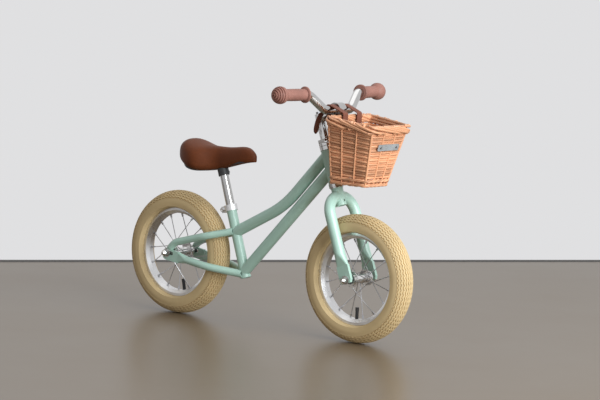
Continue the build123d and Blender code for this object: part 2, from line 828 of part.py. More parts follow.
with BuildPart() as stem:
    rod(steer_plane(quill_low - quill_diameter), quill_diameter, quill_top + quill_diameter - quill_low)
    split(bisect_by=wedge_face, keep=Keep.TOP)
    rod(Plane(origin=arm_start, z_dir=steer_ahead), stem_arm_diameter, stem_reach)
    rod(clamp_side, clamp_diameter, clamp_width)
    with BuildSketch(clamp_under):
        with Locations(((clamp_ear_front - clamp_ear_back) / 2, 0)):
            Rectangle(clamp_ear_length, clamp_ear_width)
    extrude(amount=clamp_low)
    rod(clamp_side, bar_bore, clamp_width, Mode.SUBTRACT)
    with BuildSketch(clamp_under):
        Rectangle(clamp_slit, clamp_width)
    extrude(amount=clamp_low, mode=Mode.SUBTRACT)
    rod(clamp_bolt_plane, clamp_bolt_diameter + 2 * bar_gap, clamp_ear_length, Mode.SUBTRACT)
    rod(
        steer_plane(quill_low - quill_diameter),
        expander_bolt_diameter + 2 * bar_gap,
        quill_top + quill_diameter - quill_low,
        Mode.SUBTRACT,
    )
save(stem, "stem")

with BuildPart() as clamp_bolt:
    rod(clamp_bolt_plane, clamp_bolt_diameter, clamp_ear_length)
    rod(clamp_bolt_plane, clamp_bolt_head_diameter, -clamp_bolt_head_height)
    with BuildSketch(clamp_bolt_plane.offset(clamp_ear_length)):
        RegularPolygon(clamp_bolt_head_diameter / 2, 6)
    extrude(amount=clamp_bolt_head_height)
save(clamp_bolt, "clamp_bolt")

with BuildPart() as stem_wedge:
    rod(steer_plane(quill_low - wedge_length), quill_diameter, wedge_length + quill_diameter)
    split(bisect_by=wedge_face, keep=Keep.BOTTOM)
    rod(
        steer_plane(quill_low - wedge_length),
        expander_bolt_diameter + 2 * bar_gap,
        wedge_length + quill_diameter,
        Mode.SUBTRACT,
    )
save(stem_wedge, "stem_wedge")

with BuildPart() as expander_bolt:
    rod(steer_plane(quill_low - wedge_length), expander_bolt_diameter, quill_top + wedge_length - quill_low)
    with BuildSketch(steer_plane(quill_top)):
        RegularPolygon(expander_bolt_head_diameter / 2, 6)
    extrude(amount=expander_bolt_head_height)
save(expander_bolt, "expander_bolt")


# Riser handlebar, one bent tube, and its two grips
def bar_point(back, left, rise):
    return bar_centre + Vector(-back, left, rise)


with BuildPart() as handlebar:
    with BuildLine() as bar_line:
        FilletPolyline(
            bar_point(bar_end_back, bar_end, bar_rise),
            bar_point(bar_outer_back, bar_bend_outer, bar_rise),
            bar_point(0, bar_bend_inner, 0),
            bar_point(0, -bar_bend_inner, 0),
            bar_point(bar_outer_back, -bar_bend_outer, bar_rise),
            bar_point(bar_end_back, -bar_end, bar_rise),
            radius=bar_bend_radius,
        )
    with BuildSketch(Plane(origin=bar_line.line @ 0, z_dir=bar_line.line % 0)):
        Circle(bar_diameter / 2)
        Circle(bar_diameter / 2 - bar_wall, mode=Mode.SUBTRACT)
    sweep()
save(handlebar, "handlebar")

bar_corner = bar_point(bar_outer_back, -bar_bend_outer, bar_rise)
bar_tip = bar_point(bar_end_back, -bar_end, bar_rise)
grip_run = (bar_tip - bar_corner).normalized()
bar_turn = grip_run.get_angle(bar_corner - bar_point(0, -bar_bend_inner, 0))
grip_origin = bar_corner + grip_run * (bar_bend_radius * tan(radians(bar_turn / 2)) + grip_start)
grip_length = (bar_tip - grip_origin).length + grip_end_thickness
grip_plane = Plane(origin=grip_origin, x_dir=grip_run, z_dir=grip_run.cross(Vector(0, 0, 1)))
grip_bulb_start = grip_length - grip_bulb_length

with BuildPart() as grip_right:
    with BuildSketch(grip_plane):
        with BuildLine():
            Polyline(
                (0, bar_diameter / 2 + grip_gap),
                (0, grip_flange_diameter / 2),
                (grip_flange_thickness, grip_flange_diameter / 2),
                (grip_flange_thickness + grip_edge, grip_diameter / 2),
                (grip_bulb_start, grip_diameter / 2),
                (grip_bulb_start + grip_edge, grip_bulb_diameter / 2 - grip_edge),
                (grip_bulb_start + 2 * grip_edge, grip_bulb_diameter / 2),
                (grip_length - 2 * grip_edge, grip_bulb_diameter / 2),
                (grip_length - grip_edge, grip_bulb_diameter / 2 - grip_edge),
                (grip_length, grip_diameter / 2),
                (grip_length, 0),
                (grip_length - grip_end_thickness, 0),
                (grip_length - grip_end_thickness, bar_diameter / 2 + grip_gap),
                close=True,
            )
        make_face()
    revolve(axis=Axis(grip_origin, grip_run))
save(grip_right, "grip_right")

with BuildPart() as grip_left:
    mirror(grip_right.part, about=Plane.XZ)
save(grip_left, "grip_left")

# Wheels, front and rear alike but for their place and where their valve points
crown_radius = tyre_width / 2
crown_centre = tyre_radius - crown_radius
cavity_radius = crown_radius - tyre_wall
bead_out = rim_width / 2 - rim_wall - bead_gap
bead_in = bead_out - bead_width
bead_low = rim_flange_radius - rim_side_height + bead_gap
bead_top = rim_flange_radius + 2 * bead_gap
bead_neck = bead_top + bead_width / 2
flange_face = hub_flange_thickness / 2
cone_low = hub_end_offset - bearing_cup_depth + bearing_gap
lock_low = cone_low + cone_length
nut_low = dropout_inside + dropout_thickness + washer_thickness
spoke_step = 360 / (2 * spokes_per_side)
elbow_depths = (flange_face + spoke_diameter, flange_face + 2 * spoke_diameter + spoke_clearance)


def on_crown(radius, angle):
    """A point of the tyre's section, by its angle from the middle of the tread."""
    return radius * sin(radians(angle)), crown_centre + radius * cos(radians(angle))


def spoke_ends(axle, index, first_angle):
    """Where one spoke leaves its hub flange, and where its nipple meets the rim."""
    side = -1 if index % 2 else 1
    pair = index // 2 % 2
    rim_angle = radians(first_angle + spoke_step * index)
    hub_angle = rim_angle + radians(90 if pair else -90)
    elbow = side * (hub_flange_offset - elbow_depths[pair])
    hub_ray = Vector(cos(hub_angle), 0, sin(hub_angle))
    rim_ray = Vector(cos(rim_angle), 0, sin(rim_angle))
    start = axle + hub_ray * spoke_circle_radius + to_left * elbow
    end = axle + rim_ray * (rim_well_radius - nipple_rim_gap)
    return side, start, end


wheels = (
    ("rear", rear_axle, 0, rear_valve_step),
    ("front", front_axle, spoke_step / 2, front_valve_step),
)
for wheel, axle, first_angle, valve_step in wheels:
    section_plane = Plane(origin=axle, x_dir=to_left, z_dir=(1, 0, 0))
    spin_axis = Axis(axle, to_left)
    valve_angle = radians(first_angle + valve_step * spoke_step)
    valve_ray = Vector(cos(valve_angle), 0, sin(valve_angle))
    spokes_here = [spoke_ends(axle, index, first_angle) for index in range(2 * spokes_per_side)]

    with BuildPart() as tyre:
        with BuildSketch(section_plane):
            with BuildLine():
                Polyline(
                    (-bead_in, bead_low),
                    (-bead_out, bead_low),
                    (-bead_out, bead_top),
                    *[
                        on_crown(crown_radius, tyre_wrap_angle * (2 * k / tread_facets - 1))
                        for k in range(tread_facets + 1)
                    ],
                    (bead_out, bead_top),
                    (bead_out, bead_low),
                    (bead_in, bead_low),
                    (bead_in, bead_neck),
                    *[on_crown(cavity_radius, -angle) for angle in tube_corner_angles],
                    (-bead_in, bead_neck),
                    close=True,
                )
            make_face()
        revolve(axis=spin_axis)
    save(tyre, f"{wheel}_tyre")

    with BuildPart() as inner_tube:
        with BuildSketch(section_plane):
            with BuildLine():
                Polyline(
                    (-bead_in + tube_wall_gap, bead_neck + tube_wall_gap),
                    *[on_crown(cavity_radius - tube_wall_gap, angle) for angle in tube_corner_angles],
                    (bead_in - tube_wall_gap, bead_neck + tube_wall_gap),
                    close=True,
                )
            make_face()
            offset(amount=-inner_tube_wall, kind=Kind.INTERSECTION, mode=Mode.SUBTRACT)
        revolve(axis=spin_axis)
    save(inner_tube, f"{wheel}_inner_tube")

    with BuildPart() as rim:
        with BuildSketch(section_plane):
            with BuildLine():
                Polyline(
                    (-rim_width / 2, rim_flange_radius),
                    (-rim_width / 2, rim_flange_radius - rim_side_height),
                    (-rim_well_width / 2, rim_well_radius),
                    (rim_well_width / 2, rim_well_radius),
                    (rim_width / 2, rim_flange_radius - rim_side_height),
                    (rim_width / 2, rim_flange_radius),
                    (rim_width / 2 - rim_wall, rim_flange_radius),
                    (rim_width / 2 - rim_wall, rim_flange_radius - rim_side_height),
                    (rim_well_width / 2 - rim_wall / 2, rim_well_radius + rim_wall),
                    (-rim_well_width / 2 + rim_wall / 2, rim_well_radius + rim_wall),
                    (-rim_width / 2 + rim_wall, rim_flange_radius - rim_side_height),
                    (-rim_width / 2 + rim_wall, rim_flange_radius),
                    close=True,
                )
            make_face()
        revolve(axis=spin_axis)
        rod(
            Plane(origin=axle + valve_ray * valve_tip_radius, z_dir=valve_ray),
            valve_diameter + 2 * valve_hole_gap,
            rim_flange_radius - valve_tip_radius,
            Mode.SUBTRACT,
        )
    save(rim, f"{wheel}_rim")

    with BuildPart() as valve:
        rod(
            Plane(origin=axle + valve_ray * valve_tip_radius, z_dir=valve_ray),
            valve_diameter,
            bead_neck - valve_tip_radius,
        )
    save(valve, f"{wheel}_valve")

    with BuildPart() as valve_cap:
        rod(
            Plane(origin=axle + valve_ray * (valve_tip_radius - valve_cap_length), z_dir=valve_ray),
            valve_cap_diameter,
            valve_cap_length,
        )
    save(valve_cap, f"{wheel}_valve_cap")

    with BuildPart() as spokes:
        for side, start, end in spokes_here:
            run = end - start
            outer = Vector(start.X, side * (hub_flange_offset + elbow_depths[0]), start.Z)
            with BuildSketch(Plane(origin=start, z_dir=run)):
                RegularPolygon(spoke_diameter / 2, 6)
            extrude(amount=run.length - nipple_length)
            with BuildSketch(Plane(origin=start - to_left * side * spoke_diameter / 2, z_dir=outer - start)):
                RegularPolygon(spoke_diameter / 2, 6)
            extrude(amount=(outer - start).length + spoke_diameter / 2)
    save(spokes, f"{wheel}_spokes")

    with BuildPart() as nipples:
        for side, start, end in spokes_here:
            with BuildSketch(Plane(origin=end, z_dir=start - end)):
                Rectangle(nipple_side, nipple_side)
            extrude(amount=nipple_length)
    save(nipples, f"{wheel}_nipples")

    with BuildPart() as hub_shell:
        with BuildSketch(section_plane):
            with BuildLine():
                half = (
                    (hub_end_offset - bearing_cup_depth, axle_diameter / 2 + hub_bore_gap),
                    (hub_end_offset - bearing_cup_depth, bearing_cup_diameter / 2),
                    (hub_end_offset, bearing_cup_diameter / 2),
                    (hub_end_offset, hub_end_diameter / 2),
                    (hub_flange_offset + flange_face, hub_end_diameter / 2),
                    (hub_flange_offset + flange_face, hub_flange_diameter / 2),
                    (hub_flange_offset - flange_face, hub_flange_diameter / 2),
                    (hub_flange_offset - flange_face, hub_barrel_diameter / 2),
                )
                Polyline(*half, *[(-place, radius) for place, radius in reversed(half)], close=True)
            make_face()
        revolve(axis=spin_axis)
        for side, start, end in spokes_here:
            place = Vector(start.X, side * (hub_flange_offset - hub_flange_thickness), start.Z)
            with BuildSketch(Plane(origin=place, z_dir=to_left * side)):
                RegularPolygon(spoke_diameter / 2 + spoke_hole_gap, 6)
            extrude(amount=2 * hub_flange_thickness, mode=Mode.SUBTRACT)
    save(hub_shell, f"{wheel}_hub_shell")

    with BuildPart() as ball_rows:
        for side in (-1, 1):
            out = to_left * side
            pipe(
                Plane(origin=axle + out * (hub_end_offset - bearing_cup_depth), z_dir=out),
                bearing_cup_diameter - 2 * axle_gap,
                cone_diameter + 2 * bearing_gap,
                ball_row_width,
            )
    save(ball_rows, f"{wheel}_ball_rows")

    with BuildPart() as wheel_axle:
        rod(
            Plane(origin=axle - to_left * (nut_low + axle_nut_length), z_dir=to_left),
            axle_diameter,
            2 * (nut_low + axle_nut_length),
        )
    save(wheel_axle, f"{wheel}_axle")

    with BuildPart() as axle_cones:
        for side in (-1, 1):
            out = to_left * side
            pipe(
                Plane(origin=axle + out * cone_low, z_dir=out),
                cone_diameter,
                axle_diameter + 2 * axle_gap,
                cone_length,
            )
            with BuildSketch(Plane(origin=axle + out * lock_low, z_dir=out)):
                RegularPolygon(axle_nut_across_flats / 2, 6, major_radius=False)
                Circle(axle_diameter / 2 + axle_gap, mode=Mode.SUBTRACT)
            extrude(amount=dropout_inside - lock_low)
    save(axle_cones, f"{wheel}_axle_cones")

    with BuildPart() as axle_nuts:
        for side in (-1, 1):
            out = to_left * side
            pipe(
                Plane(origin=axle + out * (dropout_inside + dropout_thickness), z_dir=out),
                washer_diameter,
                axle_diameter + 2 * axle_gap,
                washer_thickness - axle_gap,
            )
            with BuildSketch(Plane(origin=axle + out * nut_low, z_dir=out)):
                RegularPolygon(axle_nut_across_flats / 2, 6, major_radius=False)
            extrude(amount=axle_nut_length)
            with BuildSketch(Plane(origin=axle + out * (nut_low + axle_nut_length), z_dir=out)):
                Circle(axle_nut_across_flats / 2 - axle_gap)
            extrude(amount=axle_nut_dome_length, taper=axle_nut_dome_taper)
            rod(
                Plane(origin=axle + out * nut_low, z_dir=out),
                axle_diameter + 2 * axle_gap,
                axle_nut_length,
                Mode.SUBTRACT,
            )
    save(axle_nuts, f"{wheel}_axle_nuts")

# Basket: uprights, rows of weavers that pass them in turn outside and inside, and rolled borders,
# on a thin inner shell that two holes hang on the straps
basket_rear_top = bar_centre.Z - basket_drop
basket_low = basket_rear_top - basket_height
basket_rear_line = steer_point(cup_diameter / 2 + basket_rear_gap + weave_reach, 0, 0)
basket_rear_x = basket_rear_line.X - (basket_low - basket_rear_line.Z) * steer_ahead.Z / steer_ahead.X
basket_top_x = basket_rear_x + basket_top_set_forward
floor_rear = Vector(basket_rear_x, 0, basket_low)
floor_front = floor_rear + Vector(basket_bottom_depth, 0, 0)
mouth_rear = Vector(basket_top_x, 0, basket_rear_top)
mouth_front = mouth_rear + Vector(sqrt(basket_top_depth**2 - basket_front_drop**2), 0, -basket_front_drop)


def basket_level(share):
    """The plane across the basket at a share of its height, with the corners of its outer outline."""
    rear = floor_rear + (mouth_rear - floor_rear) * share
    run = floor_front + (mouth_front - floor_front) * share - rear
    rear_half = (basket_bottom_rear_width + (basket_top_rear_width - basket_bottom_rear_width) * share) / 2
    front_half = (basket_bottom_front_width + (basket_top_front_width - basket_bottom_front_width) * share) / 2
    corners = (
        Vector(0, -rear_half),
        Vector(run.length, -front_half),
        Vector(run.length, front_half),
        Vector(0, rear_half),
    )
    return Plane(origin=rear, x_dir=run, z_dir=run.cross(to_left)), corners


def uprights(share):
    """The place of each upright on that level, and the way out of the basket there."""
    plane, corners = basket_level(share)
    sides = [corners[(place + 1) % len(corners)] - corner for place, corner in enumerate(corners)]
    outs = [Vector(side.Y, -side.X).normalized() for side in sides]
    found = []
    for place, bays in enumerate(basket_bays):
        for bay in range(bays):
            out = outs[place] if bay else outs[place] + outs[place - 1]
            found.append((corners[place] + sides[place] * (bay / bays), out))
    return plane, found


def basket_outline(share, reach, swing=0):
    """An outline outside the wall by its reach, and by a swing more or less at every other upright."""
    plane, found = uprights(share)
    points = []
    for count, (place, out) in enumerate(found):
        points.append(place + out * (reach + (swing if count % 2 else -swing)))
    with BuildSketch(plane) as outline:
        with BuildLine():
            Polyline(*points, close=True)
        make_face()
    return outline.sketch.face()


strap_right_y = -strap_spacing / 2
strap_hole_z = basket_rear_top - rim_band_height - strap_thickness - 2 * strap_rim_gap
strap_hole_height = strap_thickness + strap_slot_gap
weave_height = basket_height - rim_band_height - foot_band_height
row_pitch = weave_height / basket_rows
row_height = row_pitch - weave_row_gap
foot_pitch = foot_band_height / foot_rolls
rim_pitch = rim_band_height / rim_rolls
rim_share = 1 - rim_band_height / basket_height

row_levels = [foot_band_height + row_pitch * (row + 1 / 2) for row in range(basket_rows)]
foot_levels = [foot_pitch * (count + 1 / 2) for count in range(foot_rolls)]
rim_levels = [basket_height - rim_pitch * (count + 1 / 2) for count in range(rim_rolls)]
weavers = [
    basket_outline(level / basket_height, weave_reach - weave_swing, weave_swing * (-1) ** row)
    for row, level in enumerate(row_levels)
]

with BuildPart() as stakes:
    foot_level, foot_places = uprights(foot_levels[0] / basket_height)
    rim_level, rim_places = uprights(rim_levels[0] / basket_height)
    for (foot_place, foot_out), (rim_place, rim_out) in zip(foot_places, rim_places):
        foot_end = foot_level.from_local_coords(foot_place - foot_out * upright_inset)
        rim_end = rim_level.from_local_coords(rim_place - rim_out * upright_inset)
        with BuildSketch(Plane(origin=foot_end, x_dir=to_left, z_dir=rim_end - foot_end)) as upright:
            RegularPolygon(upright_diameter / 2, 6)
        extrude(upright.sketch, amount=(rim_end - foot_end).length, clean=False)

with BuildPart() as basket:
    loft([basket_outline(0, -core_inset), basket_outline(1, -core_inset)])
    add(stakes.part, clean=False)
    extrude(weavers, amount=row_height / 2, both=True, clean=False)
    extrude(
        [basket_outline(level / basket_height, roll_reach) for level in foot_levels],
        amount=(foot_pitch - roll_gap) / 2,
        both=True,
        clean=False,
    )
    extrude(
        [basket_outline(level / basket_height, rim_band_outside) for level in rim_levels],
        amount=(rim_pitch - roll_gap) / 2,
        both=True,
        clean=False,
    )
    loft(
        [basket_outline(basket_base / basket_height, -basket_wall), basket_outline(rim_share, -basket_wall)],
        mode=Mode.SUBTRACT,
    )
    loft(
        [
            basket_outline(rim_share, -basket_wall - rim_band_inside),
            basket_outline(1 + rim_pitch / basket_height, -basket_wall - rim_band_inside),
        ],
        mode=Mode.SUBTRACT,
    )
    for left in (strap_right_y, -strap_right_y):
        hole_middle = (basket_rear_x - weave_reach, left, strap_hole_z - strap_slot_gap / 2)
        with BuildSketch(Plane(origin=hole_middle, x_dir=to_left, z_dir=(1, 0, 0))):
            Rectangle(strap_width + 2 * strap_slot_gap, strap_hole_height)
        extrude(amount=basket_top_set_forward + 2 * basket_wall + weave_reach, mode=Mode.SUBTRACT)
save(basket, "basket")

# Plain plate on the basket's front, with two rivets
front_run = mouth_front - floor_front
front_lean = front_run.X / front_run.Z
plate_middle = floor_front + front_run * (plate_rise / front_run.Z)
plate_stand_off = weave_reach + row_height / 2 * front_lean + plate_gap
plate_face = Plane(
    origin=plate_middle + Vector(plate_stand_off, 0, 0), x_dir=to_left, z_dir=to_left.cross(front_run)
)
rivet_places = ((-rivet_spacing / 2, 0), (rivet_spacing / 2, 0))

with BuildPart() as basket_plate:
    with BuildSketch(plate_face):
        RectangleRounded(plate_width, plate_height, plate_corner)
        with Locations(*rivet_places):
            Circle(rivet_diameter / 2 + rivet_gap, mode=Mode.SUBTRACT)
    extrude(amount=plate_thickness)
save(basket_plate, "basket_plate")

with BuildPart() as plate_rivets:
    with BuildSketch(plate_face):
        with Locations(*rivet_places):
            Circle(rivet_diameter / 2)
    extrude(amount=plate_thickness)
    with BuildSketch(plate_face.offset(plate_thickness)):
        with Locations(*rivet_places):
            Circle(rivet_head_diameter / 2)
    extrude(amount=rivet_head_height, taper=rivet_head_taper)
save(plate_rivets, "plate_rivets")

# Leather straps: each goes round the bar and the basket's rear border, and leaves a free tail
strap_reach = basket_wall + rim_band_inside + strap_rim_gap
strap_corners = (
    (basket_top_x + strap_reach, basket_rear_top),
    (basket_top_x + strap_reach, strap_hole_z + strap_thickness / 2 + strap_corner),
    (basket_top_x - rim_band_outside - strap_rim_gap, strap_hole_z + strap_thickness / 2 + strap_corner),
)
strap_bar_radius = bar_diameter / 2 + strap_bar_gap
strap_edge = side_plane((0, strap_right_y + strap_width / 2, 0))
tail_run = Vector(cos(radians(strap_tail_angle)), sin(radians(strap_tail_angle)))
tail_start = Vector(bar_centre.X - strap_bar_radius - strap_thickness / 2, bar_centre.Z)


def strap_loop(spread):
    """The outline round the bar and the border, this much outside the strap's inner face."""
    with BuildSketch(strap_edge) as outline:
        with Locations((bar_centre.X, bar_centre.Z)):
            Circle(strap_bar_radius + spread)
        with Locations(*strap_corners):
            Circle(strap_corner + spread)
        make_hull()
    return outline.sketch


with BuildPart() as strap_right:
    extrude(strap_loop(strap_thickness), amount=strap_width)
    with BuildSketch(strap_edge):
        with BuildLine():
            Line(tail_start, tail_start + tail_run * strap_tail_length)
        trace(line_width=strap_thickness)
    extrude(amount=strap_width)
    extrude(strap_loop(0), amount=strap_width, mode=Mode.SUBTRACT)
save(strap_right, "strap_right")

with BuildPart() as strap_left:
    mirror(strap_right.part, about=Plane.XZ)
save(strap_left, "strap_left")

# A frame buckle on each strap's lower run, between the bar and the basket
run_start = Vector(bar_centre.X, 0, bar_centre.Z)
run_end = Vector(strap_corners[-1][0], 0, strap_corners[-1][1])
run_ahead = (run_end - run_start).normalized()
run_lean = (strap_bar_radius - strap_corner) / (run_end - run_start).length
run_out = to_left.cross(run_ahead) * sqrt(1 - run_lean**2) + run_ahead * run_lean
run_middle = (run_start + run_end) / 2 + run_out * (strap_bar_radius + strap_corner + strap_thickness) / 2
buckle_slot = 2 * buckle_gap
buckle_edge = 2 * (buckle_gap + buckle_frame)

with BuildPart() as strap_buckles:
    for left in (strap_right_y, -strap_right_y):
        place = run_middle + to_left * left
        with BuildSketch(Plane(origin=place, x_dir=to_left, z_dir=run_out.cross(to_left))):
            Rectangle(strap_width + buckle_edge, strap_thickness + buckle_edge)
            Rectangle(strap_width + buckle_slot, strap_thickness + buckle_slot, mode=Mode.SUBTRACT)
        extrude(amount=buckle_length / 2, both=True)
save(strap_buckles, "strap_buckles")
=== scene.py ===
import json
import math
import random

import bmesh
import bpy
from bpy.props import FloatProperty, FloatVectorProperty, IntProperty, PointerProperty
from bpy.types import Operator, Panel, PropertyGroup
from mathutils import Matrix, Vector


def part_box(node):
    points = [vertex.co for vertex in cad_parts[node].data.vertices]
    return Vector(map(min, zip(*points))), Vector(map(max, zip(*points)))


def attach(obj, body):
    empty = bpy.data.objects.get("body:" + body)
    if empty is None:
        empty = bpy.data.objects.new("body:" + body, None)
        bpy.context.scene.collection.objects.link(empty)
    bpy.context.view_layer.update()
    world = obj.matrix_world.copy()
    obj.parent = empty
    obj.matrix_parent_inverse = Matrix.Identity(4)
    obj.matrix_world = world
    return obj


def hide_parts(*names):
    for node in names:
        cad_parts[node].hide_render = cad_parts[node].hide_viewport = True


bl_info = {
    "name": "Balance bike",
    "version": (1, 0, 0),
    "blender": (4, 5, 0),
    "location": "View3D > Sidebar > Balance bike",
    "description": "Dresses the balance bike: tyres, saddle, wicker basket, straps, grips and finishes",
    "category": "Object",
}

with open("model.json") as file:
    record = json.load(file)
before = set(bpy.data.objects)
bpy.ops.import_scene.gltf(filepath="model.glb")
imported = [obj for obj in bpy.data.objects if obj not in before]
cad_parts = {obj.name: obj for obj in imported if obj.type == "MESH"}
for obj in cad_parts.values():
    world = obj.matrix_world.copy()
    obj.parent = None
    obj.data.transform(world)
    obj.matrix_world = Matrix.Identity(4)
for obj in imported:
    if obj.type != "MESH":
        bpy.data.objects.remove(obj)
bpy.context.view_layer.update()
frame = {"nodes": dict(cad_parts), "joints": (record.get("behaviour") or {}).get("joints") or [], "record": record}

# Where the wheels and the handlebar turn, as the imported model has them
joint_place = {joint["name"]: Vector(joint["pos_m"]) for joint in frame["joints"] if joint["type"] == "hinge"}
axles = {"rear": joint_place["rear_wheel_spin"], "front": joint_place["front_wheel_spin"]}
bar_middle = joint_place["bar_tilt"]
to_left = Vector((0, 1, 0))
upward = Vector((0, 0, 1))


def size(name, description, default):
    """A length that a user may change, in metres."""
    return FloatProperty(name=name, description=description, default=default, unit="LENGTH", precision=4)


def share(name, description, default):
    return FloatProperty(name=name, description=description, default=default, subtype="FACTOR")


def count(name, description, default):
    return IntProperty(name=name, description=description, default=default)


def power(name, description, watts):
    return FloatProperty(name=name, description=description, default=watts, unit="POWER")


def spot(name, description, default):
    """A point in the shared frame, in metres, or a direction in it."""
    return FloatVectorProperty(name=name, description=description, default=default, subtype="XYZ")


def angle(name, description, degrees):
    return FloatProperty(name=name, description=description, default=math.radians(degrees), subtype="ANGLE")


def tone(name, description, default):
    """A surface colour, in linear light."""
    return FloatVectorProperty(
        name=name, description=description, default=default, size=3, min=0, max=1, subtype="COLOR"
    )


class TyreSizes(PropertyGroup):
    crown_radius: size("Crown radius", "Half the width of the tyre", 0.031)
    outside_radius: size("Outside radius", "From the axle to the top of the ribs", 0.156)
    bead_radius: size("Bead radius", "From the axle to the tyre's inner edge", 0.1058)
    bead_offset: size("Bead offset", "From the middle to the outside of the bead", 0.0124)
    flange_radius: size("Rim edge radius", "Where the sidewall leaves the rim", 0.1126)
    tread_angle: angle("Tread angle", "Half the arc that carries ribs", 63)
    wall_angle: angle("Wall angle", "Half the arc of the whole outer skin", 98)
    wall_drop: size("Wall drop", "How far the plain walls lie below the ribs", 0.0008)
    wall_steps: count("Wall steps", "Steps of each plain wall", 6)
    cheek_out: size("Cheek", "Half the width where the wall starts to turn in", 0.02945)
    cheek_drop: size("Cheek drop", "How far that lies inside the crown's middle", 0.009)
    wall_foot_out: size("Wall foot", "Half the width low on the wall", 0.02604)
    wall_foot_drop: size("Wall foot drop", "How far that lies inside the crown's middle", 0.0116)
    bead_wall: share("Bead wall", "Where the bead's inner face is, as a share of its offset", 0.7)
    groove_count: count("Grooves", "Grooves across the tread", 11)
    groove_width: size("Groove width", "Width of a groove at its top", 0.0030)
    groove_floor: share("Groove floor", "Width of a groove's floor, as a share of its top", 1 / 3)
    groove_depth: size("Groove depth", "Depth of a groove", 0.0024)
    wave_count: count("Waves", "Waves of a groove in one turn", 80)
    wave_swing: size("Wave swing", "How far a groove swings to each side", 0.0012)
    steps: count("Steps", "Steps in one turn", 640)


class SaddleSizes(PropertyGroup):
    width: size("Width", "Widest part", 0.1115)
    nose_width: size("Nose width", "Width just behind the nose", 0.0355)
    taper_start: share("Taper start", "Where the saddle starts to narrow", 0.286)
    taper_run: share("Taper run", "How far along it narrows", 0.25)
    tail_round: share("Tail round", "Length of the round tail", 0.276)
    nose_round: share("Nose round", "Length of the round nose", 0.22)
    tail_skirt_rise: size("Tail skirt rise", "How far the lower edge rises at the rear", 0.0344)
    tail_skirt_run: share("Tail skirt run", "Where that rise ends", 0.33)
    nose_skirt_rise: size("Nose skirt rise", "How far the lower edge rises at the nose", 0.0368)
    nose_skirt_start: share("Nose skirt start", "Where that rise starts", 0.285)
    nose_skirt_run: share("Nose skirt run", "Length over which it would come to its full height", 0.787)
    waist: size("Waist", "Height of the waist over the lower edge", 0.0654)
    hump: size("Hump", "How far the rear lobe rises over the waist", 0.0134)
    hump_place: share("Hump place", "Where the rear lobe is highest", 0.1335)
    hump_spread: share("Hump spread", "Length over which the rear lobe falls away", 0.154)
    nose_hump: size("Nose hump", "How far the nose rises over the waist", 0.0060)
    nose_hump_place: share("Nose hump place", "Where the nose is highest", 0.85)
    nose_hump_spread: share("Nose hump spread", "Length over which the nose falls away", 0.14)
    tip_drop: size("Tip drop", "How far both ends round off", 0.0147)
    tip_run: share("Tip run", "Length over which they round off", 0.138)
    widest_line: share("Widest line", "Height of the widest line in a cross section", 0.407)
    top_width_power: share("Top width power", "Below 1, a fuller upper half across", 0.844)
    top_height_power: share("Top height power", "Below 1, a flatter top", 0.725)
    under_power: share("Under power", "Below 1, a squarer lower half", 0.5)
    under_tuck: share("Under tuck", "How far the lower half draws in", 0.1)
    end_gap: share("End gap", "Where the first and the last cross section are, from the ends", 0.004)
    end_swell: size("End swell", "What the smoothing takes from each end, added first", 0.0022)
    edge_drop: size("Edge drop", "What the smoothing takes from the lower edge, added first", 0.0022)
    stations: count("Stations", "Cross sections along the saddle", 26)
    points: count("Points", "Points round half a cross section", 14)


